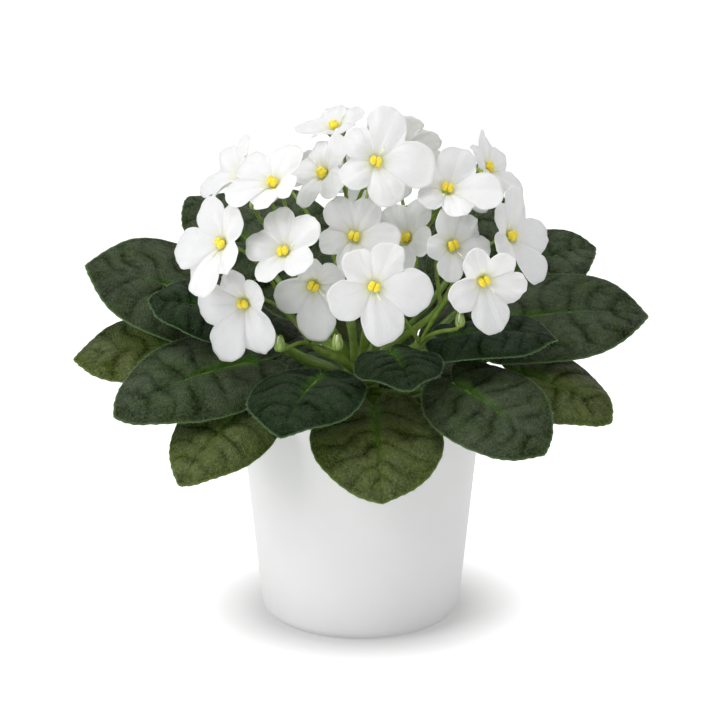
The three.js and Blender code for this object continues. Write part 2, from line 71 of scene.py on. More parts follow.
# %% [markdown]
# ## Studio
# White flowers on a white ground need soft light from all round, so the sky is an even grey-white. A
# large lamp at the front left gives the leaves their sheen and shades the pot towards the right, and one
# above lights the flower head. The plain colour transform keeps the paper-white ground white.

# %% Light the studio
SKY_STRENGTH = 0.48
scene = bpy.context.scene
scene.view_settings.view_transform = "Standard"
scene.view_settings.look = "None"

world = bpy.data.worlds.new("studio")
world.use_nodes = True
world.node_tree.nodes["Background"].inputs["Color"].default_value = (1, 1, 1, 1)
world.node_tree.nodes["Background"].inputs["Strength"].default_value = SKY_STRENGTH
scene.world = world


def soft_lamp(name, place, size, watts):
    """A square area lamp at a place, turned to shine on the middle of the plant."""
    data = bpy.data.lights.new(name, "AREA")
    data.shape = "SQUARE"
    data.size = size
    data.energy = watts
    lamp = bpy.data.objects.new(name, data)
    lamp.location = place
    lamp.rotation_euler = (CAMERA_AIM - Vector(place)).to_track_quat("-Z", "Y").to_euler()
    scene.collection.objects.link(lamp)
    print(name, watts, "W")


soft_lamp("key_lamp", (-1.6, -1.0, 1.15), 1.2, 18)
soft_lamp("top_lamp", (-0.15, -0.3, 1.85), 1.4, 18)

# %% [markdown]
# ## Building blocks
# A surface is a set of points, faces of four corners, faces of three corners, and marks. A mark is a
# number at each point that a material reads later, such as how near a point lies to a leaf's midrib.
# Every body is closed, and its signed volume tells which way its faces point.

# %% Make a surface from arrays
NO_QUADS = np.zeros((0, 4), int)
NO_TRIS = np.zeros((0, 3), int)


def surface(points, quads=NO_QUADS, tris=NO_TRIS, finish=0, **marks):
    """A closed body. Its volume is the sum over its triangles of a . (b x c) / 6, and where that is
    below zero the faces are turned round, so that they all point outwards."""
    points = np.asarray(points, float)
    fans = np.concatenate([quads[:, [0, 1, 2]], quads[:, [0, 2, 3]], tris])
    a, b, c = (points[fans[:, k]] for k in range(3))
    if np.einsum("ij,ij->", a - points.mean(0), np.cross(b - points.mean(0), c - points.mean(0))) < 0:
        quads, tris = quads[:, ::-1], tris[:, ::-1]
    return {"points": points, "quads": quads, "tris": tris, "finish": finish, "marks": marks}


def grid_quads(rows, columns, closed=False):
    """The faces of a grid of points. Corner (row, column) is point row * columns + column, and a
    closed grid joins its last column to its first."""
    row = np.arange(rows - 1)[:, None] * columns
    left = np.arange(columns if closed else columns - 1)[None, :]
    right = (left + 1) % columns
    return np.stack([row + left, row + right, row + columns + right, row + columns + left], -1).reshape(-1, 4)


def sheet(front, back, **options):
    """A thin closed body between two grids of points of one size, joined round their border."""
    rows, columns = front.shape[:2]
    count = rows * columns
    index = np.arange(count).reshape(rows, columns)
    rim = np.concatenate([index[0, :-1], index[:-1, -1], index[-1, :0:-1], index[:0:-1, 0]])
    after = np.roll(rim, -1)
    face = grid_quads(rows, columns)
    edge = np.stack([after, rim, rim + count, after + count], -1)
    points = np.concatenate([front.reshape(-1, 3), back.reshape(-1, 3)])
    return surface(points, np.concatenate([face, face[:, ::-1] + count, edge]), **options)


def ringed(rings, **options):
    """A closed body of rings of points: neighbours are joined by faces, and each end ring is closed by
    a fan to its own middle."""
    count, sides = rings.shape[:2]
    points = np.concatenate([rings.reshape(-1, 3), rings[0].mean(0)[None], rings[-1].mean(0)[None]])
    first = np.arange(sides)
    after = (first + 1) % sides
    last = (count - 1) * sides
    middle = np.full(sides, count * sides)
    tris = np.concatenate([
        np.stack([middle, after, first], -1),
        np.stack([middle + 1, last + first, last + after], -1),
    ])
    return surface(points, grid_quads(count, sides, closed=True), tris, **options)


# %% Directions and turns
def unit(vectors):
    """Vectors divided by their lengths."""
    return vectors / np.maximum(np.linalg.norm(vectors, axis=-1, keepdims=True), 1e-9)


def full_turn(count, start=0.0):
    """Angles evenly spaced once round."""
    return start + np.linspace(0, 2 * np.pi, count, endpoint=False)


def around(radius, turn, height):
    """Points round the Z axis: x = radius cos(turn), y = radius sin(turn), z = height."""
    return np.stack(np.broadcast_arrays(radius * np.cos(turn), radius * np.sin(turn), height), -1)


def spun(turn, x, y, z):
    """Points turned round the Z axis: x cos(turn) - y sin(turn), x sin(turn) + y cos(turn), z."""
    cosine, sine = math.cos(turn), math.sin(turn)
    return np.stack(np.broadcast_arrays(x * cosine - y * sine, x * sine + y * cosine, z), -1)


def grid_normals(grid):
    """The direction that each point of a grid faces: the cross product of its rows' and columns' steps."""
    return unit(np.cross(np.gradient(grid, axis=0), np.gradient(grid, axis=1)))


# %% Tubes and turned bodies
def rings_round(middles, axis, side, radius, sides):
    """Rings square to an axis: middle + radius (cos(turn) side + sin(turn) (axis x side))."""
    turn = full_turn(sides)[:, None]
    other = np.cross(axis, side)
    return middles[:, None] + radius * (np.cos(turn) * side[:, None] + np.sin(turn) * other[:, None])


def tube(path, radius, sides, **options):
    """A round tube of rings square to its path. Their first direction lies in the path's own plane."""
    along = unit(np.gradient(path, axis=0))
    side = unit(np.cross(np.linalg.svd(path - path.mean(0))[2][2], along))
    radius = np.broadcast_to(radius, len(path))[:, None, None]
    return ringed(rings_round(path, along, side, radius, sides), **options)


def turned(profile, sides, **options):
    """A body turned on a lathe: each profile point (radius, height) becomes a ring round the Z axis."""
    radius, height = np.asarray(profile, float).T[:, :, None]
    return ringed(around(radius, full_turn(sides), height), **options)


# %% Curves and steps
def smooth_path(knots, count):
    """A curve through the knots. Between two knots it is the cubic that meets each one in the direction
    of its neighbours, and time runs with the square root of the knots' distance."""
    knots = np.asarray(knots, float)
    times = np.concatenate([[0], np.cumsum(np.linalg.norm(np.diff(knots, axis=0), axis=1) ** 0.5)])
    slopes = np.gradient(knots, times, axis=0)
    at = np.linspace(0, times[-1], count)
    k = np.clip(np.searchsorted(times, at, side="right") - 1, 0, len(knots) - 2)
    gap = times[k + 1] - times[k]
    t = ((at - times[k]) / gap)[:, None]
    gap = gap[:, None]
    return (
        (2 * t**3 - 3 * t**2 + 1) * knots[k] + (t**3 - 2 * t**2 + t) * gap * slopes[k]
        + (3 * t**2 - 2 * t**3) * knots[k + 1] + (t**3 - t**2) * gap * slopes[k + 1]
    )


def along_curve(curve, share):
    """The two coordinates of a flat curve's points at shares of its length."""
    run = np.concatenate([[0], np.cumsum(np.linalg.norm(np.diff(curve, axis=0), axis=1))])
    return [np.interp(share * run[-1], run, curve[:, axis]) for axis in (0, 1)]


def bezier(start, first, second, end, count):
    """A cubic Bezier curve: the four points weighted by (1-t)^3, 3t(1-t)^2, 3t^2(1-t) and t^3."""
    t = np.linspace(0, 1, count)[:, None]
    start, first, second, end = (np.asarray(p, float) for p in (start, first, second, end))
    return (1 - t) ** 3 * start + 3 * t * (1 - t) ** 2 * first + 3 * t * t * (1 - t) * second + t**3 * end


def smooth_step(low, high, value):
    """0 below low, 1 above high, and 3t^2 - 2t^3 in between."""
    t = np.clip((value - low) / (high - low), 0, 1)
    return t * t * (3 - 2 * t)


def bell(value, width):
    """1 where the value is 0, falling off on both sides: exp(-(value / width)^2)."""
    return np.exp(-((value / width) ** 2))


# %% Put surfaces into one piece
triangle_total = {}


def make_piece(name, parts, finishes, nodes):
    """Joins closed bodies into one mesh object at the origin and fills it from whole arrays."""
    starts = np.cumsum([0] + [len(part["points"]) for part in parts])
    points = np.concatenate([part["points"] for part in parts]) * MM
    quads = np.concatenate([part["quads"] + start for part, start in zip(parts, starts)])
    tris = np.concatenate([part["tris"] + start for part, start in zip(parts, starts)])
    corners = np.concatenate([quads.ravel(), tris.ravel()])
    sizes = np.concatenate([np.full(len(quads), 4), np.full(len(tris), 3)])
    finish = [np.full(len(part[kind]), part["finish"]) for kind in ("quads", "tris") for part in parts]
    mesh = bpy.data.meshes.new(name)
    mesh.vertices.add(len(points))
    mesh.vertices.foreach_set("co", points.ravel())
    mesh.loops.add(len(corners))
    mesh.loops.foreach_set("vertex_index", corners)
    mesh.polygons.add(len(sizes))
    mesh.polygons.foreach_set("loop_start", np.concatenate([[0], np.cumsum(sizes)[:-1]]))
    mesh.polygons.foreach_set("material_index", np.concatenate(finish))
    mesh.polygons.foreach_set("use_smooth", np.ones(len(sizes), bool))
    for label in sorted({label for part in parts for label in part["marks"]}):
        values = [np.broadcast_to(part["marks"].get(label, 0.0), len(part["points"])) for part in parts]
        mesh.attributes.new(label, "FLOAT", "POINT").data.foreach_set("value", np.concatenate(values))
    mesh.update(calc_edges=True)
    mesh.validate()
    for material in finishes:
        mesh.materials.append(material)
    piece = bpy.data.objects.new(name, mesh)
    scene.collection.objects.link(piece)
    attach(piece, "root")
    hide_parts(*nodes)
    triangle_total[name] = int((sizes - 2).sum())


# %% [markdown]
# ## Hairs
# Leaves, stalks and sepals of this plant are covered in short pale hairs, which give the leaf its velvet
# and a light rim. Real mesh hairs are the simplest way to have them catch the light at the edges. Each
# one is a sliver with only four faces, so that thousands of them stay cheap.

# %% Grow hairs
STALK_HAIR_RADIUS = 0.05
STALK_HAIR_LENGTH = 1.3
ROOT_SHARE = 0.93


def hairs(roots, directions, lengths, radius, finish):
    """Slivers: three points round each root, square to its direction, and one at length along it."""
    directions = unit(directions)
    side = unit(np.cross(directions, directions[:, [1, 2, 0]] + 0.1))
    foot = rings_round(roots, directions, side, radius, 3)
    tip = (roots + directions * lengths[:, None])[:, None]
    points = np.concatenate([foot, tip], 1).reshape(-1, 3)
    faces = np.array([[0, 2, 1], [0, 1, 3], [1, 2, 3], [2, 0, 3]])
    tris = (np.arange(len(roots))[:, None, None] * 4 + faces).reshape(-1, 3)
    return surface(points, tris=tris, finish=finish)


def tube_hairs(path, radius, count, length, finish, rng):
    """Hairs that stand square to a stalk: each root is a random path point plus nearly the radius along a
    random direction that is square to the path, so that its foot is sunk in the stalk."""
    pick = rng.integers(0, len(path), count)
    along = unit(np.gradient(path, axis=0))[pick]
    out = unit(np.cross(along, unit(rng.normal(size=(count, 3)))))
    roots = path[pick] + out * np.broadcast_to(radius, len(path))[pick][:, None] * ROOT_SHARE
    lengths = length * rng.uniform(0.5, 1.2, count)
    return hairs(roots, out + 0.3 * rng.normal(size=(count, 3)), lengths, STALK_HAIR_RADIUS, finish)


# %% [markdown]
# ## Finishes
# Each material is built from nodes. Two effects come back in several of them, so each is a node group:
# mottling, which drifts between two colours in soft patches, and pores, the tiny pits and bumps of a
# plant's skin or of matt glaze. A group gives only a colour or a height, and the shader stays outside.

# %% Node helpers
def set_socket(tree, socket, value):
    """Joins a socket to another node's output, or sets its value. A colour of three numbers is opaque."""
    if isinstance(value, bpy.types.NodeSocket):
        tree.links.new(value, socket)
    else:
        socket.default_value = (*value, 1) if socket.type == "RGBA" else value


def add_node(tree, kind, sockets=None, **settings):
    """A node of one kind, with its settings and its sockets."""
    node = tree.nodes.new(kind)
    for key, value in settings.items():
        setattr(node, key, value)
    for key, value in (sockets or {}).items():
        set_socket(tree, node.inputs[key], value)
    return node


def new_group(name, inputs, outputs):
    """An empty node group with named inputs and outputs, and its two end nodes."""
    group = bpy.data.node_groups.new(name, "ShaderNodeTree")
    for label, kind in inputs:
        group.interface.new_socket(label, in_out="INPUT", socket_type=kind)
    for label, kind in outputs:
        group.interface.new_socket(label, in_out="OUTPUT", socket_type=kind)
    return group, group.nodes.new("NodeGroupInput").outputs, group.nodes.new("NodeGroupOutput").inputs


def blend_colours(tree, share, low, high):
    """The colour low where share is 0, and high where it is 1."""
    return add_node(tree, "ShaderNodeMix", {0: share, 6: low, 7: high}, data_type="RGBA").outputs[2]


def scaled(tree, value, low, high, out_low=0.0, out_high=1.0):
    """A value moved from the range low to high into the range out_low to out_high, and held there."""
    return add_node(
        tree, "ShaderNodeMapRange",
        {"Value": value, "From Min": low, "From Max": high, "To Min": out_low, "To Max": out_high},
    ).outputs[0]


def mark(tree, name):
    """A piece's own number at each point."""
    return add_node(tree, "ShaderNodeAttribute", attribute_name=name).outputs["Fac"]


def tinted(tree, colour, name, low, high, share, tint):
    """A colour blended towards a tint, by up to a share, as the mark of a name rises from low to high."""
    return blend_colours(tree, scaled(tree, mark(tree, name), low, high, 0, share), colour, tint)


# %% Mottling group
BLACK = (0, 0, 0)
WHITE = (1, 1, 1)
COLOUR = "NodeSocketColor"
NUMBER = "NodeSocketFloat"
mottling, mottle_in, mottle_out = new_group(
    "mottling", [("Deep", COLOUR), ("Bright", COLOUR), ("Patches per metre", NUMBER)], [("Colour", COLOUR)]
)
place = add_node(mottling, "ShaderNodeTexCoord").outputs["Object"]
patches = add_node(
    mottling, "ShaderNodeTexNoise",
    {"Vector": place, "Scale": mottle_in["Patches per metre"], "Detail": 5.0, "Roughness": 0.6},
).outputs[0]
mottling.links.new(
    blend_colours(mottling, scaled(mottling, patches, 0.32, 0.68), mottle_in["Deep"], mottle_in["Bright"]),
    mottle_out["Colour"],
)


def mottled(tree, deep, bright, per_metre):
    """The mottling group, placed in a material."""
    sockets = {"Deep": deep, "Bright": bright, "Patches per metre": per_metre}
    return add_node(tree, "ShaderNodeGroup", sockets, node_tree=mottling).outputs[0]


print("group", mottling.name)

# %% Pores group
pores, pores_in, pores_out = new_group(
    "pores", [("Pores per metre", NUMBER), ("Grain per metre", NUMBER), ("Grain share", NUMBER)],
    [("Height", NUMBER)],
)
place = add_node(pores, "ShaderNodeTexCoord").outputs["Object"]
pits = add_node(
    pores, "ShaderNodeTexVoronoi", {"Vector": place, "Scale": pores_in["Pores per metre"]}
).outputs["Distance"]
grain = add_node(
    pores, "ShaderNodeTexNoise", {"Vector": place, "Scale": pores_in["Grain per metre"], "Detail": 4.0}
).outputs[0]
pores.links.new(
    add_node(pores, "ShaderNodeMix", {0: pores_in["Grain share"], 2: pits, 3: grain}).outputs[0],
    pores_out["Height"],
)


def pored(tree, per_metre, grain_per_metre, grain_share):
    """The pores group, placed in a material."""
    sockets = {"Pores per metre": per_metre, "Grain per metre": grain_per_metre, "Grain share": grain_share}
    return add_node(tree, "ShaderNodeGroup", sockets, node_tree=pores).outputs[0]


print("group", pores.name)


# %% Start a material
def set_sockets(tree, shader, **sockets):
    """Sets or joins a shader's sockets, with _ for the spaces in their names."""
    for key, value in sockets.items():
        set_socket(tree, shader.inputs[key.replace("_", " ")], value)


def new_finish(name, **constants):
    """A material with a Principled shader, whose plain values are set on its own sockets."""
    material = bpy.data.materials.new(name)
    material.use_nodes = True
    shader = material.node_tree.nodes["Principled BSDF"]
    set_sockets(material.node_tree, shader, **constants)
    return material, material.node_tree, shader


def bumped(tree, height, distance, strength):
    """The normal that a height gives, with the distance in metres that a height of 1 stands for."""
    sockets = {"Height": height, "Distance": distance, "Strength": strength}
    return add_node(tree, "ShaderNodeBump", sockets).outputs[0]


# %% [markdown]
# ## Leaf finish
# The blade is a dark, greyish green velvet. Its veins are sunk, and their colour is darker as painted shade;
# the midrib is a fresh green near the stalk, and a thin lighter line runs round the edge. Old leaves low on
# the plant are more olive and young ones in the middle more blue, and that bluer finish is also darker as
# painted shade for the leaves that lie under the blooms. The short hairs shine where they are dense, so the
# highlight and the sheen come in broad patches too, strong on the puffs and dull in the veins, and the puffs'
# colour is lighter as a painted highlight. The underside is pale.

# %% Leaf finishes
VELVET_GRAIN = 850.0


def leaf_finish(name, deep, bright, rib, edge, shine):
    """Green mottled in three sizes, from patches as wide as a finger down to the velvet's grain, darker
    in the veins as painted shade and lighter on the puffs as a painted highlight, with the rib's colour
    along the midrib, the edge's colour round the rim and a pale underside. The marks rib, vein, puff, edge
    and under say where."""
    material, tree, shader = new_finish(name, Sheen_Roughness=0.4, Sheen_Tint=(0.85, 0.95, 0.7))
    green = mottled(tree, deep, bright, 60.0)
    green = blend_colours(tree, 0.35, green, mottled(tree, deep, bright, 240.0))
    green = blend_colours(tree, 0.5, green, mottled(tree, deep, bright, VELVET_GRAIN))
    # Painted highlight: the puffs' colour is lightened. Painted shade: the veins' colour is darkened.
    green = tinted(tree, green, "puff", 0.5, 1.1, 0.42, bright)
    green = tinted(tree, green, "vein", 0, 1, 0.55, deep)
    green = tinted(tree, green, "rib", 0.05, 0.9, 0.85, rib)
    green = tinted(tree, green, "edge", 0.966, 0.998, 0.8, edge)
    pale = mottled(tree, (0.10, 0.17, 0.06), (0.16, 0.25, 0.10), 200.0)
    green = blend_colours(tree, mark(tree, "under"), green, pale)
    skin = pored(tree, 1300.0, 300.0, 0.6)
    gleam = mottled(tree, BLACK, WHITE, 70.0)
    gleam = blend_colours(tree, 0.4, gleam, scaled(tree, mark(tree, "puff"), 0.3, 1.1))
    gleam = blend_colours(tree, 0.3, gleam, mottled(tree, BLACK, WHITE, VELVET_GRAIN))
    gleam = tinted(tree, gleam, "vein", 0, 1, 0.5, BLACK)
    set_sockets(
        tree, shader, Base_Color=green, Normal=bumped(tree, skin, 0.0011, 0.9),
        Roughness=scaled(tree, skin, 0.2, 0.8, 0.36, 0.56),
        Specular_IOR_Level=scaled(tree, gleam, 0.15, 0.85, 0, 2.3 * shine),
        Sheen_Weight=scaled(tree, gleam, 0.15, 0.85, 0, 0.8 * shine),
    )
    return material


leaf_dark = leaf_finish(
    "leaf_dark", deep=(0.00045, 0.0015, 0.00022), bright=(0.0452, 0.072, 0.0225), rib=(0.06, 0.17, 0.006),
    edge=(0.1, 0.17, 0.06), shine=0.2,
)
leaf_olive = leaf_finish(
    "leaf_olive", deep=(0.0015, 0.0032, 0.0003), bright=(0.1075, 0.144, 0.0293), rib=(0.08, 0.19, 0.006),
    edge=(0.12, 0.19, 0.04), shine=0.2,
)
# Painted shade: this bluer finish is also darker, for the leaves that lie under the blooms.
leaf_blue_in_shade = leaf_finish(
    "leaf_blue_in_shade", deep=(0.00015, 0.0009, 0.00015), bright=(0.0172, 0.04, 0.0112), rib=(0.045, 0.13, 0.005),
    edge=(0.08, 0.15, 0.06), shine=0.1,
)
print("leaf finishes", leaf_dark.name, leaf_olive.name, leaf_blue_in_shade.name)

# %% Hair, stalk and sepal finishes
plant_hair, tree, shader = new_finish("plant_hair", Roughness=0.4, Sheen_Weight=0.3)
set_sockets(tree, shader, Base_Color=mottled(tree, (0.16, 0.24, 0.10), (0.36, 0.42, 0.28), 300.0))


def stalk_finish(name, deep, bright, per_metre):
    """A juicy green skin with fine pores."""
    material, tree, shader = new_finish(name, Roughness=0.42, Subsurface_Weight=0.15, Subsurface_Scale=0.002)
    skin = pored(tree, 1800.0, 700.0, 0.5)
    set_sockets(
        tree, shader, Base_Color=mottled(tree, deep, bright, per_metre),
        Normal=bumped(tree, skin, 0.0003, 0.6),
    )
    return material


petiole_green = stalk_finish("petiole_green", (0.05, 0.10, 0.008), (0.15, 0.25, 0.025), 90.0)
stalk_green = stalk_finish("stalk_green", (0.10, 0.18, 0.012), (0.24, 0.36, 0.045), 120.0)
sepal_green = stalk_finish("sepal_green", (0.16, 0.26, 0.04), (0.34, 0.47, 0.13), 250.0)
print("stalk finishes", petiole_green.name, stalk_green.name, sepal_green.name)

# %% [markdown]
# ## Leaves
# A blade is a heart with two round lobes behind its notch. It is worked out on a square grid that is
# bent into a disc, because such a grid has no crowded middle, and the disc is then stretched to the
# heart. The blade arches from notch to tip and its sides turn down. On that rides the quilting: the skin
# puffs up between the sunk side veins, which leave the midrib and curve towards the tip.

# %% Sizes of leaves, as in the model
BLADE_ARCH = 0.09
BLADE_CUP = 3.5
BLADE_RIPPLE = 1.1
BLADE_BULGE = 1.6
BLADE_THICKNESS = 1.0
BLADE_CENTRE = 0.36
BLADE_GRID = 65
QUILT_HEIGHT = 1.35
QUILT_LEVEL = 0.7
PILLOW_ROWS = 6.5
PILLOW_WIDTH = 6.0
RIB_DEPTH = 0.9
TEETH = 37
TOOTH_DEPTH = 0.2
CROWN_RADIUS = 10
CROWN_TAPER = 0.85
CROWN_BOTTOM = 84
CROWN_TOP = 126
ROOT_GAP = 0.9
PETIOLE_RADIUS = 2.1
PETIOLE_TIP_RADIUS = 1.5

# Half of the outline, from the tip over a round lobe back to the notch
HEART = [
    (1, 0), (0.95, 0.23), (0.86, 0.5), (0.71, 0.78), (0.52, 0.96), (0.31, 1), (0.1, 0.91), (-0.07, 0.72),
    (-0.16, 0.46), (-0.16, 0.22), (-0.08, 0.05), (0, 0),
]

# node, base, tip, width, root angle and height, roll, quilting depth, finish
LEAVES = [
    ("leaf_01", (-69, 16, 148), (-135, 18, 170), 66, (158, 119), 29, 1.3, leaf_dark),
    ("leaf_02", (-72, 4, 132), (-140, -2, 127), 47, (176, 110), 31, 1.0, leaf_olive),
    ("leaf_03", (-62, -16, 155), (-102, -20, 162), 46, (186, 121), 20, 0.9, leaf_blue_in_shade),
    ("leaf_04", (-51, -30, 136), (-116, -64, 119), 53, (210, 114), 28, 1.2, leaf_dark),
    ("leaf_05", (-50, -41, 120), (-85, -80, 91), 46, (228, 108), 20, 1.3, leaf_olive),
    ("leaf_06", (-19, -52, 135), (-37, -96, 120), 56, (244, 120), 0, 0.9, leaf_blue_in_shade),
    ("leaf_07", (14, -48, 146), (24, -82, 138), 42, (286, 119), 4, 0.8, leaf_blue_in_shade),
    ("leaf_08", (6, -50, 119), (10, -94, 86), 63, (274, 110), 0, 1.5, leaf_olive),
    ("leaf_09", (45, -48, 130), (85, -90, 108), 52, (308, 114), 25, 1.4, leaf_dark),
    ("leaf_10", (41, -28, 147), (93, -38, 148), 52, (326, 121), 8, 1.1, leaf_blue_in_shade),
    ("leaf_11", (66, 12, 142), (141, 13, 146), 61, (8, 115), 30, 1.3, leaf_dark),
    ("leaf_12", (65, 44, 153), (118, 60, 169), 50, (30, 121), 30, 1.1, leaf_dark),
    ("leaf_13", (71, -6, 124), (121, -28, 105), 49, (336, 108), 20, 1.2, leaf_olive),
    ("leaves_left", (-48, 54, 164), (-88, 92, 186), 46, (120, 117), 20, 1.2, leaf_dark),
    ("leaves_left", (-42, 46, 123), (-88, 88, 138), 54, (122, 115), 8, 1.2, leaf_dark),
    ("leaves_left", (-28, 44, 146), (-38, 94, 190), 52, (118, 118), 4, 1.2, leaf_dark),
    ("leaves_left", (-24, 28, 117), (-50, 72, 112), 38, (124, 115), 4, 1.2, leaf_dark),
    ("leaves_right", (24, 47, 144), (34, 97, 184), 46, (68, 117), 4, 1.2, leaf_dark),
    ("leaves_right", (44, 42, 121), (89, 84, 140), 54, (66, 112), 8, 1.2, leaf_olive),
    ("leaves_right", (3, 52, 116), (6, 104, 148), 52, (70, 110), 0, 1.2, leaf_olive),
    ("leaves_right", (30, 16, 112), (64, 46, 130), 40, (64, 111), 4, 1.2, leaf_dark),
    ("leaves_right", (45, 40, 161), (67, 70, 198), 40, (62, 115), 4, 1.2, leaf_dark),
]
print(len(LEAVES), "leaves")


# %% The blade's frame and outline
def blade_frame(base, tip, roll):
    """The notch, the length, and the unit vectors along, across and out of a blade. Across is level,
    then turned about the blade's length so that the face looks to the front."""
    base = np.asarray(base, float)
    along = np.asarray(tip, float) - base
    length = np.linalg.norm(along)
    along = along / length
    level = unit(np.cross([0, 0, 1], along))
    lean = math.radians(roll) * np.sign(along[0])
    across = level * math.cos(lean) + np.cross(along, level) * math.sin(lean)
    return base, length, along, across, np.cross(along, across)


def heart(turn, length, width):
    """The blade's outline: a smooth curve through the HEART knots, run through evenly from the tip, where
    turn is 0, to the notch, where it is pi. The knots count in lengths and in half widths."""
    out, side = along_curve(smooth_path(HEART, 400), np.abs(turn) / np.pi)
    return length * out, 0.5 * width * side * np.sign(turn)


def disc_grid(count):
    """A square grid bent into a disc: on the square, the larger of |a| and |b| becomes the radius, and
    the other one, as a share of it, turns by up to 45 degrees either side of that axis."""
    a, b = np.meshgrid(np.linspace(-1, 1, count), np.linspace(-1, 1, count), indexing="ij")
    wide = np.abs(a) > np.abs(b)
    radius = np.where(wide, a, b)
    with np.errstate(divide="ignore", invalid="ignore"):
        turn = np.where(wide, np.pi / 4 * b / a, np.pi / 2 - np.pi / 4 * a / b)
    turn = np.nan_to_num(turn)
    x, y = radius * np.cos(turn), radius * np.sin(turn)
    return np.hypot(x, y), np.arctan2(y, x)


# %% Veins and quilting
def quilting(x, y, length, seed):
    """Side veins start at the midrib at a distance v and run on the line x = v + (v/50 - 0.3)|y|, bent
    towards the tip and shaken by slow waves, so that no two are alike. Between them the skin is a row of
    pillows |sin(pi v / spacing)|^0.8, each pinched again along its length, higher in some places than in
    others, and with small puffs on top. Returns the pillows' height and the veins' nearness."""
    away = np.abs(y)
    start = (x + 0.3 * away - 0.006 * away**2) / (1 + 0.02 * away)
    shake = 0.22 * np.sin(0.17 * away + 0.05 * x + seed) + 0.13 * np.sin(0.31 * x - 0.23 * y + 2.7 * seed)
    row = start / (length / PILLOW_ROWS) + shake + 0.1 * np.sign(y)
    column = away / PILLOW_WIDTH + 0.5 * np.floor(row)
    column = column + 0.3 * np.sin(0.3 * x + seed) + 0.15 * np.sin(0.5 * y + seed)
    pillow = np.abs(np.sin(np.pi * row)) ** 0.8
    pinch = np.abs(np.sin(np.pi * column)) ** 0.8
    share = 0.62 + 0.38 * np.sin(0.12 * x + 0.19 * y + 3.1 * seed) * np.sin(0.2 * x - 0.11 * y + 1.7 * seed)
    small = np.sin(0.9 * x + 0.5 * away + 1.5 * np.sin(0.4 * y + seed)) * np.sin(0.8 * away - 0.3 * x + seed)
    height = 1 + (pillow * (0.65 + 0.35 * pinch) - 1) * share + 0.09 * small
    return height, bell(pillow, 0.3) * share


def folds(x, y, seed):
    """Soft folds: a sum of three slow waves that cross the blade in different directions."""
    return (
        np.sin(0.11 * x + 0.05 * y + seed) + 0.7 * np.sin(0.07 * x - 0.16 * y + 2.1 * seed)
        + 0.5 * np.sin(0.21 * y + 0.13 * x + 4.3 * seed)
    ) / 2.2


# %% The blade
def outline_teeth(turn, share, width, seed):
    """The small teeth shrink the outline by the waves cos(37 turn) and sin(17 turn), near the rim only."""
    waves = 1.4 + np.cos(TEETH * turn) + 0.4 * np.sin(17 * turn + seed)
    return 1 - (TOOTH_DEPTH / width) * waves * share**14


def blade(row, seed):
    """The blade as a thin closed body. Height over its plane is the arch 0.09 L 4t(1-t), less the cup
    3.5 (2y/W)^2, plus a ripple at the edge, the folds, a bulge of each half beside the midrib and the
    quilting, less the sunk midrib. Also returns the rim's points and outward directions and the face's
    points and normals, for the hairs."""
    _, base, tip, width, _, roll, quilt, _ = row
    base, length, along, across, out = blade_frame(base, tip, roll)
    share, turn = disc_grid(BLADE_GRID)
    edge_x, edge_y = heart(turn, length, width)
    centre = BLADE_CENTRE * length
    tooth = outline_teeth(turn, share, width, seed)
    x = centre + (edge_x - centre) * share * tooth
    y = edge_y * share * tooth
    t = np.clip(x / length, 0, 1)
    puff, vein = quilting(x, y, length, seed)
    flat_edge = 1 - share**8
    past_notch = smooth_step(-4, 1, x)
    rib = bell(y, 1.5 - 0.7 * t) * past_notch * (RIB_DEPTH * (1 - t) ** 0.6 + 0.25)
    glow = bell(y, 3.4 - 2.4 * t) * past_notch * (1 - t) ** 2
    half = np.clip(np.abs(2 * y / width), 0, 1)
    bulge = BLADE_BULGE * np.sin(np.pi * half**0.7) * smooth_step(-8, 8, x)
    z = (
        BLADE_ARCH * length * 4 * t * (1 - t) - BLADE_CUP * (2 * y / width) ** 2
        + BLADE_RIPPLE * share**2 * np.sin(5 * turn + seed) + 0.5 * folds(x, y, seed) * share
        + (bulge + QUILT_HEIGHT * quilt * (puff - QUILT_LEVEL) - rib) * flat_edge
    )
    front = base + x[..., None] * along + y[..., None] * across + z[..., None] * out
    normal = grid_normals(front)
    normal = normal * np.sign((normal @ out).mean())
    back = front - normal * (BLADE_THICKNESS * (1 - 0.55 * share**10))[..., None]
    marks = {"rib": glow, "vein": vein * flat_edge, "edge": share, "puff": puff * flat_edge}
    marks = {key: np.tile(value.ravel(), 2) for key, value in marks.items()}
    body = sheet(front, back, under=np.repeat([0.0, 1.0], share.size), **marks)
    on_rim = np.isclose(share, 1, atol=1e-6)
    rim_out = unit((front - (base + centre * along)))[on_rim]
    return body, (front + back)[on_rim] / 2, rim_out, front[~on_rim], normal[~on_rim]


# %% The stalk of a leaf
def petiole_path(row):
    """The stalk's path from the crown into the notch, and on under the blade, as in the model."""
    _, base, tip, _, (turn, height), roll, _, _ = row
    base, length, along, _, _ = blade_frame(base, tip, roll)
    share = (height - CROWN_BOTTOM) / (CROWN_TOP - CROWN_BOTTOM)
    heading = around(1.0, math.radians(turn), 0.0)
    root = heading * (CROWN_RADIUS * (1 + (CROWN_TAPER - 1) * share) + ROOT_GAP) + [0, 0, height]
    second = root + heading * np.linalg.norm(base - root) * 0.3
    second[2] = height + (base[2] - height) * 0.22
    lift = BLADE_ARCH * length * 0.5 - BLADE_THICKNESS
    return smooth_path([
        root, second, root + (base - root) * 0.68 + [0, 0, -1], base + along * 2 + [0, 0, -1.6],
        base + along * length * 0.16 + [0, 0, lift - 0.4],
    ], 26)


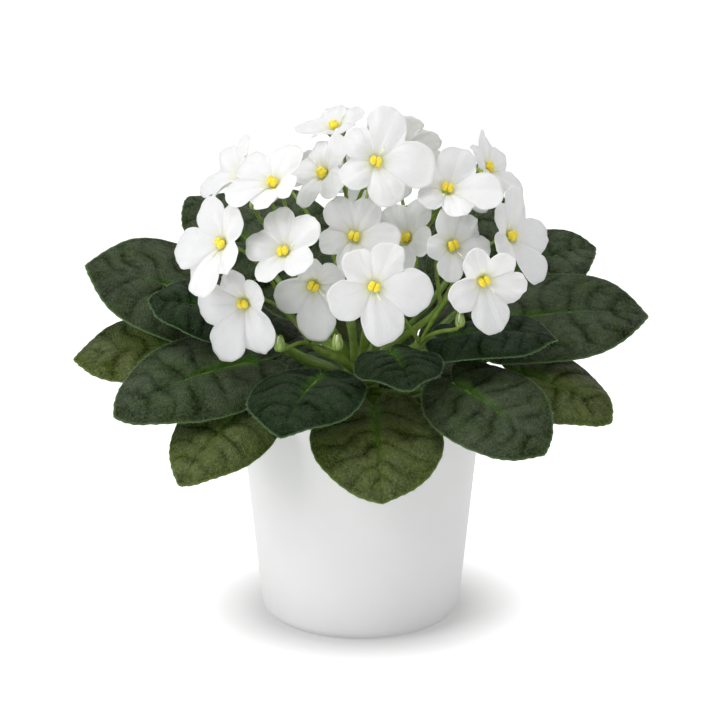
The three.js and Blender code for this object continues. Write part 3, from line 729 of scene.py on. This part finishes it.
def under_rib(row):
    """The midrib stands out under the blade: a tube along the blade's middle, thinning to its tip."""
    _, base, tip, _, _, roll, _, _ = row
    base, length, along, _, out = blade_frame(base, tip, roll)
    t = np.linspace(0.04, 0.86, 18)[:, None]
    path = base + along * t * length + out * (BLADE_ARCH * length * 4 * t * (1 - t) - BLADE_THICKNESS - 1.0)
    return path, 1.25 * (1 - t[:, 0]) ** 0.7 + 0.3


# %% Grow every leaf
RIM_HAIRS = 420
RIM_HAIR_RADIUS = 0.045
FACE_HAIRS = 520
FACE_HAIR_RADIUS = 0.028
PETIOLE_HAIRS = 200

rng = np.random.default_rng(7)
for number, row in enumerate(LEAVES, 1):
    body, rim, rim_out, face, face_normal = blade(row, number - 1)
    path = petiole_path(row)
    radius = np.linspace(PETIOLE_RADIUS, PETIOLE_TIP_RADIUS, len(path))
    radius[-1] = 0.5
    rib_path, rib_radius = under_rib(row)
    rim_pick = rng.integers(0, len(rim), RIM_HAIRS)
    rim_dir = rim_out[rim_pick] + 0.45 * rng.normal(size=(RIM_HAIRS, 3))
    face_pick = rng.choice(len(face), FACE_HAIRS, replace=False)
    face_dir = face_normal[face_pick] + 0.5 * rng.normal(size=(FACE_HAIRS, 3))
    parts = [
        body,
        tube(path, radius, 10, finish=1),
        tube(rib_path, rib_radius, 7, finish=1),
        hairs(rim[rim_pick], rim_dir, rng.uniform(0.6, 1.3, RIM_HAIRS), RIM_HAIR_RADIUS, 2),
        hairs(face[face_pick], face_dir, rng.uniform(0.4, 0.8, FACE_HAIRS), FACE_HAIR_RADIUS, 2),
        tube_hairs(path, radius, PETIOLE_HAIRS, STALK_HAIR_LENGTH, 2, rng),
    ]
    finishes = [row[-1], petiole_green, plant_hair]
    make_piece(f"violet_leaf_{number:02d}", parts, finishes, [row[0]])
print("leaf triangles", sum(triangle_total.values()))

# %% [markdown]
# ## Flower finishes
# Petals are matt white and let light through, so the shader scatters a little light below the surface.
# Towards the eye they turn greenish yellow. Fine streaks run outwards: noise that is read from the cosine
# and sine of a point's direction stretches along each petal. The anthers are a strong lemon yellow.

# %% Petal and anther finishes
petal_white, tree, shader = new_finish(
    "petal_white", Roughness=0.58, Subsurface_Weight=0.6, Subsurface_Scale=0.006,
    Subsurface_Radius=(1, 1, 0.85), Specular_IOR_Level=0.3, Sheen_Weight=0.08,
)
white = mottled(tree, (0.87, 0.87, 0.852), (0.91, 0.91, 0.895), 120.0)
white = tinted(tree, white, "halo", 0.1, 0.9, 0.75, (0.82, 0.87, 0.45))
white = tinted(tree, white, "throat", 0.15, 0.85, 1, (0.66, 0.74, 0.13))
outward = scaled(tree, mark(tree, "outward"), 0, 1, 0, 0.3)
direction = add_node(
    tree, "ShaderNodeCombineXYZ", {"X": mark(tree, "cosine"), "Y": mark(tree, "sine"), "Z": outward}
).outputs[0]
streaks = add_node(
    tree, "ShaderNodeTexNoise", {"Vector": direction, "Scale": 16.0, "Detail": 3.0}
).outputs[0]
set_sockets(tree, shader, Base_Color=white, Normal=bumped(tree, streaks, 0.0005, 0.6))

anther_yellow, tree, shader = new_finish(
    "anther_yellow", Roughness=0.5, Subsurface_Weight=0.1, Subsurface_Scale=0.001
)
set_sockets(
    tree, shader, Base_Color=mottled(tree, (0.92, 0.6, 0.004), (1.0, 0.92, 0.07), 700.0),
    Normal=bumped(tree, pored(tree, 5000.0, 2500.0, 0.4), 0.0003, 0.8),
)
style_cream = stalk_finish("style_cream", (0.8, 0.8, 0.6), (0.9, 0.9, 0.78), 400.0)
print("flower finishes", petal_white.name, anther_yellow.name, style_cream.name)

# %% [markdown]
# ## Blooms
# Each bloom is five petals grown together round a small throat, so it is one closed skin. Five separate
# petals would be easier, but the shading would break where they meet. Each petal is a grid whose lines
# run from the throat to the free edge, so that the edge is a true curve. The five grids join into rings
# round the eye, and the rings go on down the throat and back under the petals.

# %% Sizes and places of blooms, as in the model
PETAL_ANGLES = np.array([54, 126, 198, 270, 342])
PETAL_WIDTHS = (0.84, 0.84, 0.84, 0.78, 0.84)
PETAL_REACH = 22
THROAT_RADIUS = 1.7

# eye, facing angle and rise, lean and reach of the five petals, cup, flower stalk
BLOOMS = [
    ((-56, -2, 219), (194, 33), (36, 36, 36, 36, 36), (19, 18, 21, 22, 17), 12, 0),
    ((-40, -52, 228), (235, 48), (30, 34, 19, 12, 6), (21, 22, 23, 17, 16), 5, 0),
    ((-12, -6, 244), (215, 66), (25, 14, 18, 20, 8), (16, 18, 20, 16, 16), 5, 1),
    ((-17, -27, 227), (220, 28), (12, -4, -8, -8, -2), (20, 16, 17, 19, 20), 6, 1),
    ((7, -45, 237), (274, 18), (20, 6, 14, 18, 11), (26, 19, 19, 22, 28), 4, 1),
    ((20, 8, 231), (72, 34), (-28, -17, -39, -28, -28), (18, 22, 20, 19, 19), 4, 2),
    ((40, -39, 222), (285, 48), (6, 24, 10, 10, 0), (23, 18, 17, 18, 26), 5, 2),
    ((60, -1, 223), (340, 34), (13, 14, 16, 22, 22), (18, 18, 19, 21, 17), 6, 2),
    ((-64, -50, 199), (224, 20), (4, -4, 5, -7, -11), (21, 22, 25, 27, 19), 6, 3),
    ((-35, -60, 198), (238, 32), (-7, -14, -18, -16, -4), (22, 21, 19, 18, 20), 6, 3),
    ((-3, -48, 202), (266, 26), (10, -2, -2, -6, 8), (19, 20, 17, 18, 22), 4, 4),
    ((22, -30, 196), (226, 30), (20, 14, 12, 30, 16), (20, 19, 18, 19, 19), 6, 4),
    ((42, -46, 197), (300, 20), (-14, -26, -18, -26, -2), (18, 18, 15, 18, 20), 5, 5),
    ((70, -25, 196), (324, 24), (14, -2, 2, 14, 0), (23, 19, 20, 26, 22), 6, 5),
    ((-54, -48, 170), (236, 0), (-14, -12, -10, -17, -32), (17, 17, 25, 29, 26), 6, 6),
    ((-22, -45, 178), (264, -4), (-18, -28, 8, 6, -2), (17, 14, 20, 26, 20), 5, 6),
    ((6, -73, 185), (274, 10), (12, -2, 7, 13, 8), (22, 20, 23, 27, 27), 4, 7),
    ((56, -69, 187), (288, -3), (-12, -10, 14, 10, 4), (17, 17, 19, 25, 21), 5, 7),
    ((-38, 38, 209), (125, 35), (0, 0, 0, 0, 0), (20, 20, 22, 24, 22), 4, 8),
    ((4, 48, 206), (88, 28), (12, 12, 12, 12, 12), (21, 20, 23, 25, 22), 4, 8),
    ((46, 32, 210), (45, 32), (-10, -10, -10, -10, -10), (20, 20, 22, 24, 22), 4, 9),
]


def bloom_place(row):
    """Turns a bloom's own points into the plant's: Z is the way it faces, X is level and Y its upward
    side. Returns a function on whole arrays of points."""
    eye, (turn, rise) = row[:2]
    rise = math.radians(rise)
    facing = around(math.cos(rise), math.radians(turn), math.sin(rise))
    side = unit(np.cross([0, 0, 1], facing))
    axes = np.array([side, np.cross(facing, side), facing])
    return lambda points: np.asarray(points, float) @ axes + np.asarray(eye, float)


print(len(BLOOMS), "blooms")

# %% One petal's outline
PETAL_COLUMNS = 33
PETAL_ROWS = 21
LOBE_MIDDLE = 0.6
SEAM_NEAREST = 0.5
SEAM_FURTHEST = 0.74


def lobe(room, reach, width, meet, lopsided):
    """Half of a lobe's free edge, from the tip round to the seam. It is half an ellipse round a point at
    0.6 of the reach, never crosses the seam, and ends on it at the distance meet. room is the angle
    between the petal's middle and the seam, and lopsided shifts the tip sideways."""
    turn = np.radians([0, 20, 40, 60, 80, 98])
    out = LOBE_MIDDLE + (1 - LOBE_MIDDLE) * np.cos(turn)
    side = 0.5 * width * np.sin(turn) ** 0.9 + lopsided * np.cos(turn) ** 2
    knots = np.stack([out, np.minimum(side, 0.97 * out * math.tan(room))], -1) * reach
    knots = knots[np.hypot(*knots.T) > meet + 0.04 * reach]
    curve = smooth_path(np.append(knots, [[meet * math.cos(room), meet * math.sin(room)]], axis=0), 200)
    return np.stack(along_curve(curve, np.linspace(0, 1, PETAL_COLUMNS // 2 + 1)), -1)


def seam_length(room, reach, width):
    """Where a lobe would leave the seam: further out for a wide lobe or a narrow room."""
    return reach * min(max(0.92 * 0.5 * width / math.sin(room), SEAM_NEAREST), SEAM_FURTHEST)


# %% One petal's surface
PETAL_LAP = 1.045
THROAT_DROP = 1.3
SEAM_CREASE = 0.35
ROW_SHARES = np.linspace(0, 1, PETAL_ROWS)[:, None] ** 1.2


def relief(u, s, far, seed, phase, rng):
    """A petal's own height: the lap, which lifts one side over the next petal, slow waves, a furrow, a
    ruffled edge, a curl at the tip, a roll of the sides and a belly."""
    ruffle = 0.45 * np.sin(4.2 * u + phase[2]) + 0.25 * np.sin(9.5 * u + phase[3])
    ruffle = ruffle + 0.12 * np.sin(19 * u + phase[4])
    return (
        PETAL_LAP * u * smooth_step(0.25, 0.7, s) + 0.6 * far * np.sin(2.2 * u + seed)
        - 0.35 * bell(u, 0.2) * 4 * s * (1 - s) + ruffle * s**2.2
        + 0.35 * np.sin(5 * u + phase[5]) * np.sin(4 * s + phase[6]) * s
        + rng.uniform(-2.6, 0.9) * smooth_step(0.45, 1, s) ** 1.4
        + rng.uniform(-1.6, 0.4) * s**1.5 * (u**2 - 0.3) + 0.9 * np.sin(np.pi * s) ** 2 * (1 - u**2)
    )


def petal(angle, rooms, meets, reach, width, cup, seed, rng):
    """Grid lines run straight from an arc on the throat to the free edge. Height is the cup times
    1.5f - 0.5f^2, where f is the distance from the eye over 22 mm, less the throat's drop and a crease
    along the seams, plus the petal's own relief. That dies out at the seams, by the factor 1 - u^4, so
    neighbours grow together there. Returns the grid and its marks."""
    u = np.linspace(-1, 1, PETAL_COLUMNS)[None, :]
    s = ROW_SHARES
    lopsided = rng.uniform(-0.06, 0.06)
    width = width * rng.uniform(0.9, 1.0)
    low = lobe(rooms[0], reach, width, meets[0], -lopsided)
    high = lobe(rooms[1], reach, width, meets[1], lopsided)
    edge = np.concatenate([low[:0:-1] * [1, -1], high])[None]
    base = around(THROAT_RADIUS, np.where(u < 0, rooms[0], rooms[1]) * u, 0.0)[..., :2]
    phase = rng.uniform(0, 6, 8)
    free = 1 - u**4
    ragged = 1 + free * (0.014 * np.sin(7 * u + phase[0]) + 0.007 * np.sin(17 * u + phase[1]))
    x, y = np.moveaxis(base + (edge * ragged[..., None] - base) * s[..., None], -1, 0)
    away = np.hypot(x, y)
    far = away / PETAL_REACH
    seam = bell(1 - np.abs(u), 0.16) * np.sin(np.pi * s**0.8)
    z = (
        cup * (1.5 * far - 0.5 * far**2) + relief(u, s, far, seed, phase, rng) * free
        - SEAM_CREASE * seam - THROAT_DROP * bell(away - THROAT_RADIUS, 1.9)
    )
    marks = {"throat": bell(away, 2.7), "halo": bell(away, 5.5), "outward": s + 0 * u}
    front = spun(math.radians(angle), x, y, z)
    return front[:, :-1], {key: value[:, :-1] for key, value in marks.items()}


# %% Five petals in one
PETAL_THICKNESS = 0.5
PETAL_EDGE = 0.24
TUBE_INSIDE = np.array([(0.3, -2.1), (1.1, -2.0), (1.5, -1.7), (1.65, -1.4)])
TUBE_OUTSIDE = np.array([(2.6, -1.9), (2.9, -2.6), (2.6, -3.4), (1.6, -4.0), (0.3, -4.2)])


def corolla(row, number, rng):
    """All five petals as one closed skin, made of rings round the eye: up the inside of the tube, out over
    the petals' faces, back under them and down the outside of the tube. The back lies under the face
    along its normals. The mark outward runs along a petal, and cosine and sine tell the direction."""
    _, _, lean, reach, cup, _ = row
    angles = PETAL_ANGLES + lean
    rooms = np.radians(np.diff(np.append(angles, angles[0] + 360))) / 2
    wish = [[seam_length(rooms[p], reach[q], PETAL_WIDTHS[q]) for q in (p, (p + 1) % 5)] for p in range(5)]
    meets = np.mean(wish, axis=1)
    petals = [
        petal(
            angles[p], (rooms[p - 1], rooms[p]), (meets[p - 1], meets[p]), reach[p], PETAL_WIDTHS[p], cup,
            1.7 * p + number - 1, rng,
        )
        for p in range(5)
    ]
    front = np.concatenate([grid for grid, _ in petals], axis=1)
    sides = front.shape[1]
    beside = np.roll(front, -1, axis=1) - np.roll(front, 1, axis=1)
    normal = unit(np.cross(np.gradient(front, axis=0), beside))
    normal = normal * np.sign(normal[..., 2].mean())
    thick = PETAL_EDGE + (PETAL_THICKNESS - PETAL_EDGE) * (1 - ROW_SHARES**8)
    back = front - normal * thick[..., None]
    turn = full_turn(sides, math.radians(angles[0]) - rooms[4])
    inside, outside = (around(ends[:, :1], turn, ends[:, 1:]) for ends in (TUBE_INSIDE, TUBE_OUTSIDE))
    rings = np.concatenate([inside, front, back[::-1], outside])
    marks = {}
    for key, eye_value in (("throat", 0.9), ("halo", 1.0), ("outward", 0.0)):
        face = np.concatenate([values[key] for _, values in petals], axis=1)
        in_tube = [np.full((len(ends), sides), eye_value) for ends in (TUBE_INSIDE, TUBE_OUTSIDE)]
        grid = np.concatenate([in_tube[0], face, face[::-1], in_tube[1]])
        marks[key] = np.append(grid.ravel(), [eye_value, eye_value])
    for key, wave in (("cosine", np.cos(turn)), ("sine", np.sin(turn))):
        marks[key] = np.append(np.tile(wave, len(rings)), [0.0, 0.0])
    return ringed(rings, **marks)


# %% [markdown]
# ## Anthers
# Two plump yellow pollen sacs touch side by side over the throat, on short filaments. Beside them a thin
# cream style reaches forward and ends in a small knob. Balls shaped by a formula are enough for the sacs.

# %% Anthers and style
def pollen_sac(side, rng):
    """A plump ball, a little longer than wide, with a shallow groove down its front. Slow bumps make each
    one a little different, and its inner side is pressed flat against the other sac."""
    polar = np.linspace(0.12, np.pi - 0.12, 13)[:, None]
    turn = full_turn(16)[None, :]
    groove = 1 - 0.16 * bell(turn - np.pi / 2, 0.35) * np.sin(polar)
    bumps = 1 + 0.1 * np.sin(2 * turn + rng.uniform(0, 6)) * np.sin(3 * polar + rng.uniform(0, 6))
    x = 1.75 * np.sin(polar) * np.cos(turn) * groove * bumps
    x = x + side * (1.05 + 0.2 * np.cos(polar) ** 2)
    x = side * np.maximum(side * x, 0.12)
    z = 1.6 * np.sin(polar) ** 0.8 * np.sin(turn) * groove * bumps + 0.3 * np.sin(polar)
    y = (2.2 + rng.uniform(-0.15, 0.25)) * np.cos(polar) * bumps + rng.uniform(-0.35, 0.35)
    return ringed(np.stack([x, y, z + 2.0], -1))


def stamens(rng):
    """Both sacs, turned together about the bloom's axis, their filaments, and the style with its knob."""
    spin = rng.uniform(-0.6, 0.6)
    out = around(1.0, rng.uniform(0, 2 * np.pi), 0.0)
    pair = [pollen_sac(side, rng) for side in (-1, 1)]
    for side in (-1, 1):
        low, high = (side * 0.8, 0, -3.3), (side * 1.1, 0, 2.3)
        path = bezier(low, (side * 1.9, 0, -1), (side * 1.9, 0, 1), high, 8)
        pair.append(tube(path, 0.42, 6, finish=1))
    for part in pair:
        part["points"] = spun(spin, *part["points"].T)
    knots = [away * out + [0, 0, up] for away, up in ((-0.4, -2.6), (2.4, -1), (3.6, 2.2), (6.6, 4.2))]
    radius = np.append(np.full(10, 0.3), [0.45, 0.45])
    return pair + [tube(bezier(*knots, 12), radius, 6, finish=1)]


# %% Open every bloom
def moved(part, place):
    """The same body with its points put in place."""
    return {**part, "points": place(part["points"])}


rng = np.random.default_rng(21)
before = sum(triangle_total.values())
for number, row in enumerate(BLOOMS, 1):
    place = bloom_place(row)
    parts = [moved(corolla(row, number, rng), place)]
    make_piece(f"violet_bloom_{number:02d}", parts, [petal_white], [f"bloom_{number:02d}"])
    parts = [moved(part, place) for part in stamens(rng)]
    make_piece(
        f"violet_anthers_{number:02d}", parts, [anther_yellow, style_cream],
        [f"anthers_{number:02d}"],
    )
print("bloom triangles", sum(triangle_total.values()) - before)

# %% [markdown]
# ## Flower stalks
# Ten flower stalks rise from the crown. Each one forks into thin stems, and every stem ends in a calyx
# of five narrow sepals behind its bloom, or in a bud. All of it is pale green and softly hairy.

# %% Sizes and places of stalks, as in the model
CALYX_FOOT = 6.6
PEDICEL_RADIUS = 0.9
PEDUNCLE_RADIUS = 1.7

# angle and radius at the crown's top, and the fork
STEMS = [
    ((150, 5), (-36, 2, 178)),
    ((200, 3), (-8, -6, 190)),
    ((20, 5), (26, -2, 184)),
    ((210, 5), (-34, -22, 158)),
    ((270, 4), (4, -20, 164)),
    ((320, 5), (38, -22, 162)),
    ((240, 5), (-24, -32, 146)),
    ((300, 5), (28, -36, 148)),
    ((110, 5), (-12, 22, 172)),
    ((60, 5), (26, 18, 170)),
]

# place, length, flower stalk
BUDS = [
    ((-38, -60, 152), 7, 6),
    ((-11, -58, 152), 7, 6),
    ((-50, -30, 212), 6, 0),
    ((46, -58, 163), 6, 7),
]


# %% Sepals and buds
SEPAL_ROWS = np.linspace(0, 1, 9)[:, None]
SEPAL_COLUMNS = np.linspace(-1, 1, 5)[None, :]
SEPAL_TURNS = full_turn(5)
SEPAL_THICKNESS = 0.4


def sepal(turn, length, width, spread, base_height, start):
    """A lance-shaped sheet. Its half width follows sin(pi (0.12 + 0.86 s)^0.8)^0.8, and it leans out by
    the angle spread, a little more towards the tip."""
    s, u = SEPAL_ROWS, SEPAL_COLUMNS
    half = 0.5 * width * np.sin(np.pi * (0.12 + 0.86 * s) ** 0.8) ** 0.8
    out = start + length * math.sin(spread) * s**1.2 + 0.35 * u**2 * half
    front = spun(turn, out, u * half, base_height + length * math.cos(spread) * s)
    return sheet(front, front - grid_normals(front) * SEPAL_THICKNESS, finish=1)


def calyx():
    """A small turned cup with five sepals that hold the flower's tube."""
    profile = [(0.3, -7.6), (1.3, -7.0), (2.1, -5.8), (2.5, -4.6), (2.3, -4.3), (0.3, -4.25)]
    return [turned(profile, 12, finish=1)] + [sepal(turn, 5.4, 2.3, 0.75, -5.6, 1.7) for turn in SEPAL_TURNS]


def bud(length):
    """A closed bud: a pale pointed oval held by five sepals that meet at its tip."""
    t = np.linspace(0.02, 0.98, 12)
    radius = length * 0.31 * np.sin(np.pi * t**0.75) ** 0.7
    parts = [turned(np.stack([radius, (t - 0.2) * length], -1), 12, finish=3)]
    s, u = SEPAL_ROWS, SEPAL_COLUMNS
    out = length * (0.12 + 0.26 * np.sin(np.pi * (0.1 + 0.8 * s) ** 0.75)) + 0.15 - 0.2 * u * u
    for turn in SEPAL_TURNS:
        front = around(out, turn + u * 0.62 * (1 - 0.7 * s**2), (s * 1.08 - 0.25) * length)
        parts.append(sheet(front, front * np.array([0.88, 0.88, 1.0]), finish=1))
    return parts


# %% Grow the stalks
CROWN_RINGS = 22


def stalk(start, first, second, end, radius, steps, sides, count, rng):
    """A stalk that thins from 1.2 to 0.8 of its radius, with its hairs."""
    path = bezier(start, first, second, end, steps)
    thick = radius * np.linspace(1.2, 0.8, steps)
    return [tube(path, thick, sides), tube_hairs(path, thick, count, STALK_HAIR_LENGTH, 2, rng)]


def stem(number, towards, share, lift, second, end, steps, count, rng):
    """A thin stem that sets out from a flower stalk's fork towards a point, raised by lift."""
    fork = np.array(STEMS[number][1], float)
    first = fork + (towards - fork) * share + [0, 0, lift]
    return stalk(fork - [0, 0, PEDUNCLE_RADIUS], first, second, end, PEDICEL_RADIUS, steps, 8, count, rng)


rng = np.random.default_rng(5)
height = np.linspace(CROWN_BOTTOM, CROWN_TOP, CROWN_RINGS)
share = np.linspace(0, 1, CROWN_RINGS)
bark = 1 + 0.05 * np.sin(height * 1.9) + 0.03 * np.sin(height * 3.1)
radius = CROWN_RADIUS * (1 + (CROWN_TAPER - 1) * share) * np.minimum(bark, 1.0)
radius[-3:] *= (0.97, 0.88, 0.62)
stalks = [turned(np.stack([radius, height], -1), 28)]
for (turn, away), fork in STEMS:
    start = around(away, math.radians(turn), CROWN_TOP - 4)
    way = np.array(fork, float) - start
    first = start + way * [0.3, 0.3, 0.5]
    second = start + way * [0.85, 0.85, 0.7]
    stalks += stalk(start, first, second, start + way, PEDUNCLE_RADIUS, 20, 10, 260, rng)

for row in BLOOMS:
    place = bloom_place(row)
    neck, behind = place([[0, 0, -CALYX_FOOT], [0, 0, -CALYX_FOOT - 12.6]])
    stalks += stem(row[5], behind, 0.3, 4, behind, neck, 16, 140, rng)
    stalks += [moved(part, place) for part in calyx()]

for at, length, number in BUDS:
    at = np.array(at, float)
    stalks += stem(number, at, 0.4, 5, at - [0, 0, 6], at, 14, 120, rng)
    stalks += [moved(part, lambda points: points + at) for part in bud(length)]

make_piece(
    "violet_flower_stalks", stalks, [stalk_green, sepal_green, plant_hair, style_cream],
    ["flower_stalks"],
)
print("stalk triangles", triangle_total["violet_flower_stalks"])

# %% [markdown]
# ## Potting mix
# Under the leaves the pot is filled with dark peat. It is a level disc with a rough top, strewn with
# crumbs of bark and a few white grains of perlite, which the material picks out.

# %% Soil finish
potting_mix, tree, shader = new_finish("potting_mix", Roughness=0.95)
peat = mottled(tree, (0.006, 0.004, 0.003), (0.035, 0.022, 0.013), 500.0)
peat = blend_colours(tree, mark(tree, "perlite"), peat, (0.5, 0.48, 0.43))
crumb = pored(tree, 900.0, 1600.0, 0.6)
set_sockets(tree, shader, Base_Color=peat, Normal=bumped(tree, crumb, 0.0012, 1.0))

# %% Soil in the pot
POT_HEIGHT = 111
POT_RIM_RADIUS = 59.6
POT_FOOT_RADIUS = 49
POT_FOOT_CORNER = 6
POT_WALL = 4
POT_FLOOR = 6
SOIL_TOP = 100
SOIL_CROWN = 2
SOIL_GAP = 0.3
SOIL_HOLE = 10.3
SOIL_RINGS = 34
SOIL_SIDES = 150


def pot_radius(z):
    """The pot's outer radius, on a straight line from the foot's corner to the rim."""
    share = (z - POT_FOOT_CORNER) / (POT_HEIGHT - POT_FOOT_CORNER)
    return POT_FOOT_RADIUS + (POT_RIM_RADIUS - POT_FOOT_RADIUS) * share


def crumbs(count, rng):
    """Crumbs: each is an octahedron whose six corners are moved at random, half sunk in the soil's top."""
    away = 10.5 + 42 * rng.uniform(0, 1, count) ** 0.6
    turn = rng.uniform(0, 2 * np.pi, count)
    middle = around(away, turn, SOIL_TOP + SOIL_CROWN * (1 - away / 55) + 0.3)
    corners = np.array([[1, 0, 0], [0, 1, 0], [-1, 0, 0], [0, -1, 0], [0, 0, 1], [0, 0, -1]], float)
    size = rng.uniform(0.7, 2.1, (count, 1, 1)) * rng.uniform(0.6, 1.1, (count, 6, 1))
    points = (middle[:, None] + corners * size).reshape(-1, 3)
    faces = np.array([[0, 1, 4], [1, 2, 4], [2, 3, 4], [3, 0, 4], [1, 0, 5], [2, 1, 5], [3, 2, 5], [0, 3, 5]])
    tris = (np.arange(count)[:, None, None] * 6 + faces).reshape(-1, 3)
    return surface(points, tris=tris, perlite=np.repeat(rng.uniform(0, 1, count) > 0.93, 6).astype(float))


def soil_body(rng):
    """Rings from the foot over the rough top and down the hole that the crown stands in."""
    share = np.linspace(1, 0, SOIL_RINGS)[:, None]
    turn = full_turn(SOIL_SIDES)
    away = SOIL_HOLE + (pot_radius(SOIL_TOP) - POT_WALL - SOIL_GAP - SOIL_HOLE) * share
    rough = rng.normal(size=(SOIL_RINGS, SOIL_SIDES))
    rough = (rough + np.roll(rough, 1, 1) + np.roll(rough, -1, 1)) * 0.35
    rough[0] = 0
    low = POT_FLOOR + SOIL_GAP
    foot = around(pot_radius(low) - POT_WALL - SOIL_GAP, turn, low)
    top = around(away, turn, SOIL_TOP + SOIL_CROWN * (1 - share) + rough * 0.7)
    hole = around(SOIL_HOLE, turn, CROWN_BOTTOM - SOIL_GAP)
    return ringed(np.concatenate([foot[None], top, hole[None]]), perlite=0.0)


rng = np.random.default_rng(3)
make_piece("potting_soil", [soil_body(rng), crumbs(900, rng)], [potting_mix], ["soil"])
print("soil triangles", triangle_total["potting_soil"])

# %% [markdown]
# ## Pot
# The pot is a plain tapered cylinder with a rounded foot and a softened rim. It is matt white glaze:
# almost smooth, with a very fine orange-peel bump that breaks up its broad reflection.

# %% Pot finish
pot_white, tree, shader = new_finish("pot_white", Specular_IOR_Level=0.45)
peel = pored(tree, 900.0, 350.0, 0.8)
set_sockets(
    tree, shader, Base_Color=mottled(tree, (0.69, 0.69, 0.69), (0.72, 0.72, 0.72), 25.0),
    Roughness=scaled(tree, peel, 0, 1, 0.38, 0.48), Normal=bumped(tree, peel, 0.0001, 0.4),
)


# %% Turn the pot
def arc(middle, radius, start, end, count):
    """Points of a circle's arc in the profile, from one angle to another in degrees."""
    return around(radius, np.radians(np.linspace(start, end, count)), 0.0)[:, :2] + middle


lip = POT_WALL / 2
profile = np.concatenate([
    [[0.5, 0], [15, 0], [30, 0], [POT_FOOT_RADIUS - POT_FOOT_CORNER - 1, 0]],
    arc((POT_FOOT_RADIUS - POT_FOOT_CORNER, POT_FOOT_CORNER), POT_FOOT_CORNER, -90, 0, 10),
    [[pot_radius(z), z] for z in np.linspace(12, POT_HEIGHT - lip - 0.5, 16)],
    arc((POT_RIM_RADIUS - lip, POT_HEIGHT - lip), lip, 0, 180, 14),
    [[pot_radius(z) - POT_WALL, z] for z in np.linspace(POT_HEIGHT - lip - 1, POT_FLOOR + 1, 8)],
    [[30, POT_FLOOR], [0.5, POT_FLOOR]],
])
make_piece("flower_pot", [turned(profile, 144)], [pot_white], ["pot"])
print("pot triangles", triangle_total["flower_pot"])

# %% [markdown]
# ## Floor
# The plant stands on seamless white paper that glows, like a studio's light table, and lights the petals
# from below. Its glow is turned down round the pot's foot as a painted shadow, and that soft shadow is the
# only one that shows.

# %% Lay the floor
PAINTED_SHADOW_WIDTH = 0.035
FLOOR_HALF = 4.0
FLOOR_HEIGHT = -0.0003

paper, tree, shader = new_finish(
    "studio_paper", Roughness=0.9, Specular_IOR_Level=0.1, Emission_Color=WHITE
)
place = add_node(tree, "ShaderNodeTexCoord").outputs["Object"]
away = add_node(tree, "ShaderNodeVectorMath", {0: place}, operation="LENGTH").outputs["Value"]
foot = MM * POT_FOOT_RADIUS
# Painted shadow: the glow drops from 0.82 to 0.3 towards the pot's foot.
set_sockets(
    tree, shader, Base_Color=mottled(tree, (0.47, 0.47, 0.47), (0.49, 0.49, 0.49), 15.0),
    Emission_Strength=scaled(tree, away, foot, foot + PAINTED_SHADOW_WIDTH, 0.3, 0.82),
)
floor_mesh = bpy.data.meshes.new("studio_floor")
corners = [(x * FLOOR_HALF, y * FLOOR_HALF, FLOOR_HEIGHT) for x, y in ((-1, -1), (1, -1), (1, 1), (-1, 1))]
floor_mesh.from_pydata(corners, [], [(0, 1, 2, 3)])
floor_mesh.materials.append(paper)
floor = bpy.data.objects.new("studio_floor", floor_mesh)
scene.collection.objects.link(floor)

# %% [markdown]
# ## Triangles
# The script ends by printing the number of triangles in all and in the largest piece.

# %% Count the triangles
print("triangles in all", sum(triangle_total.values()), "largest", max(triangle_total.values()))
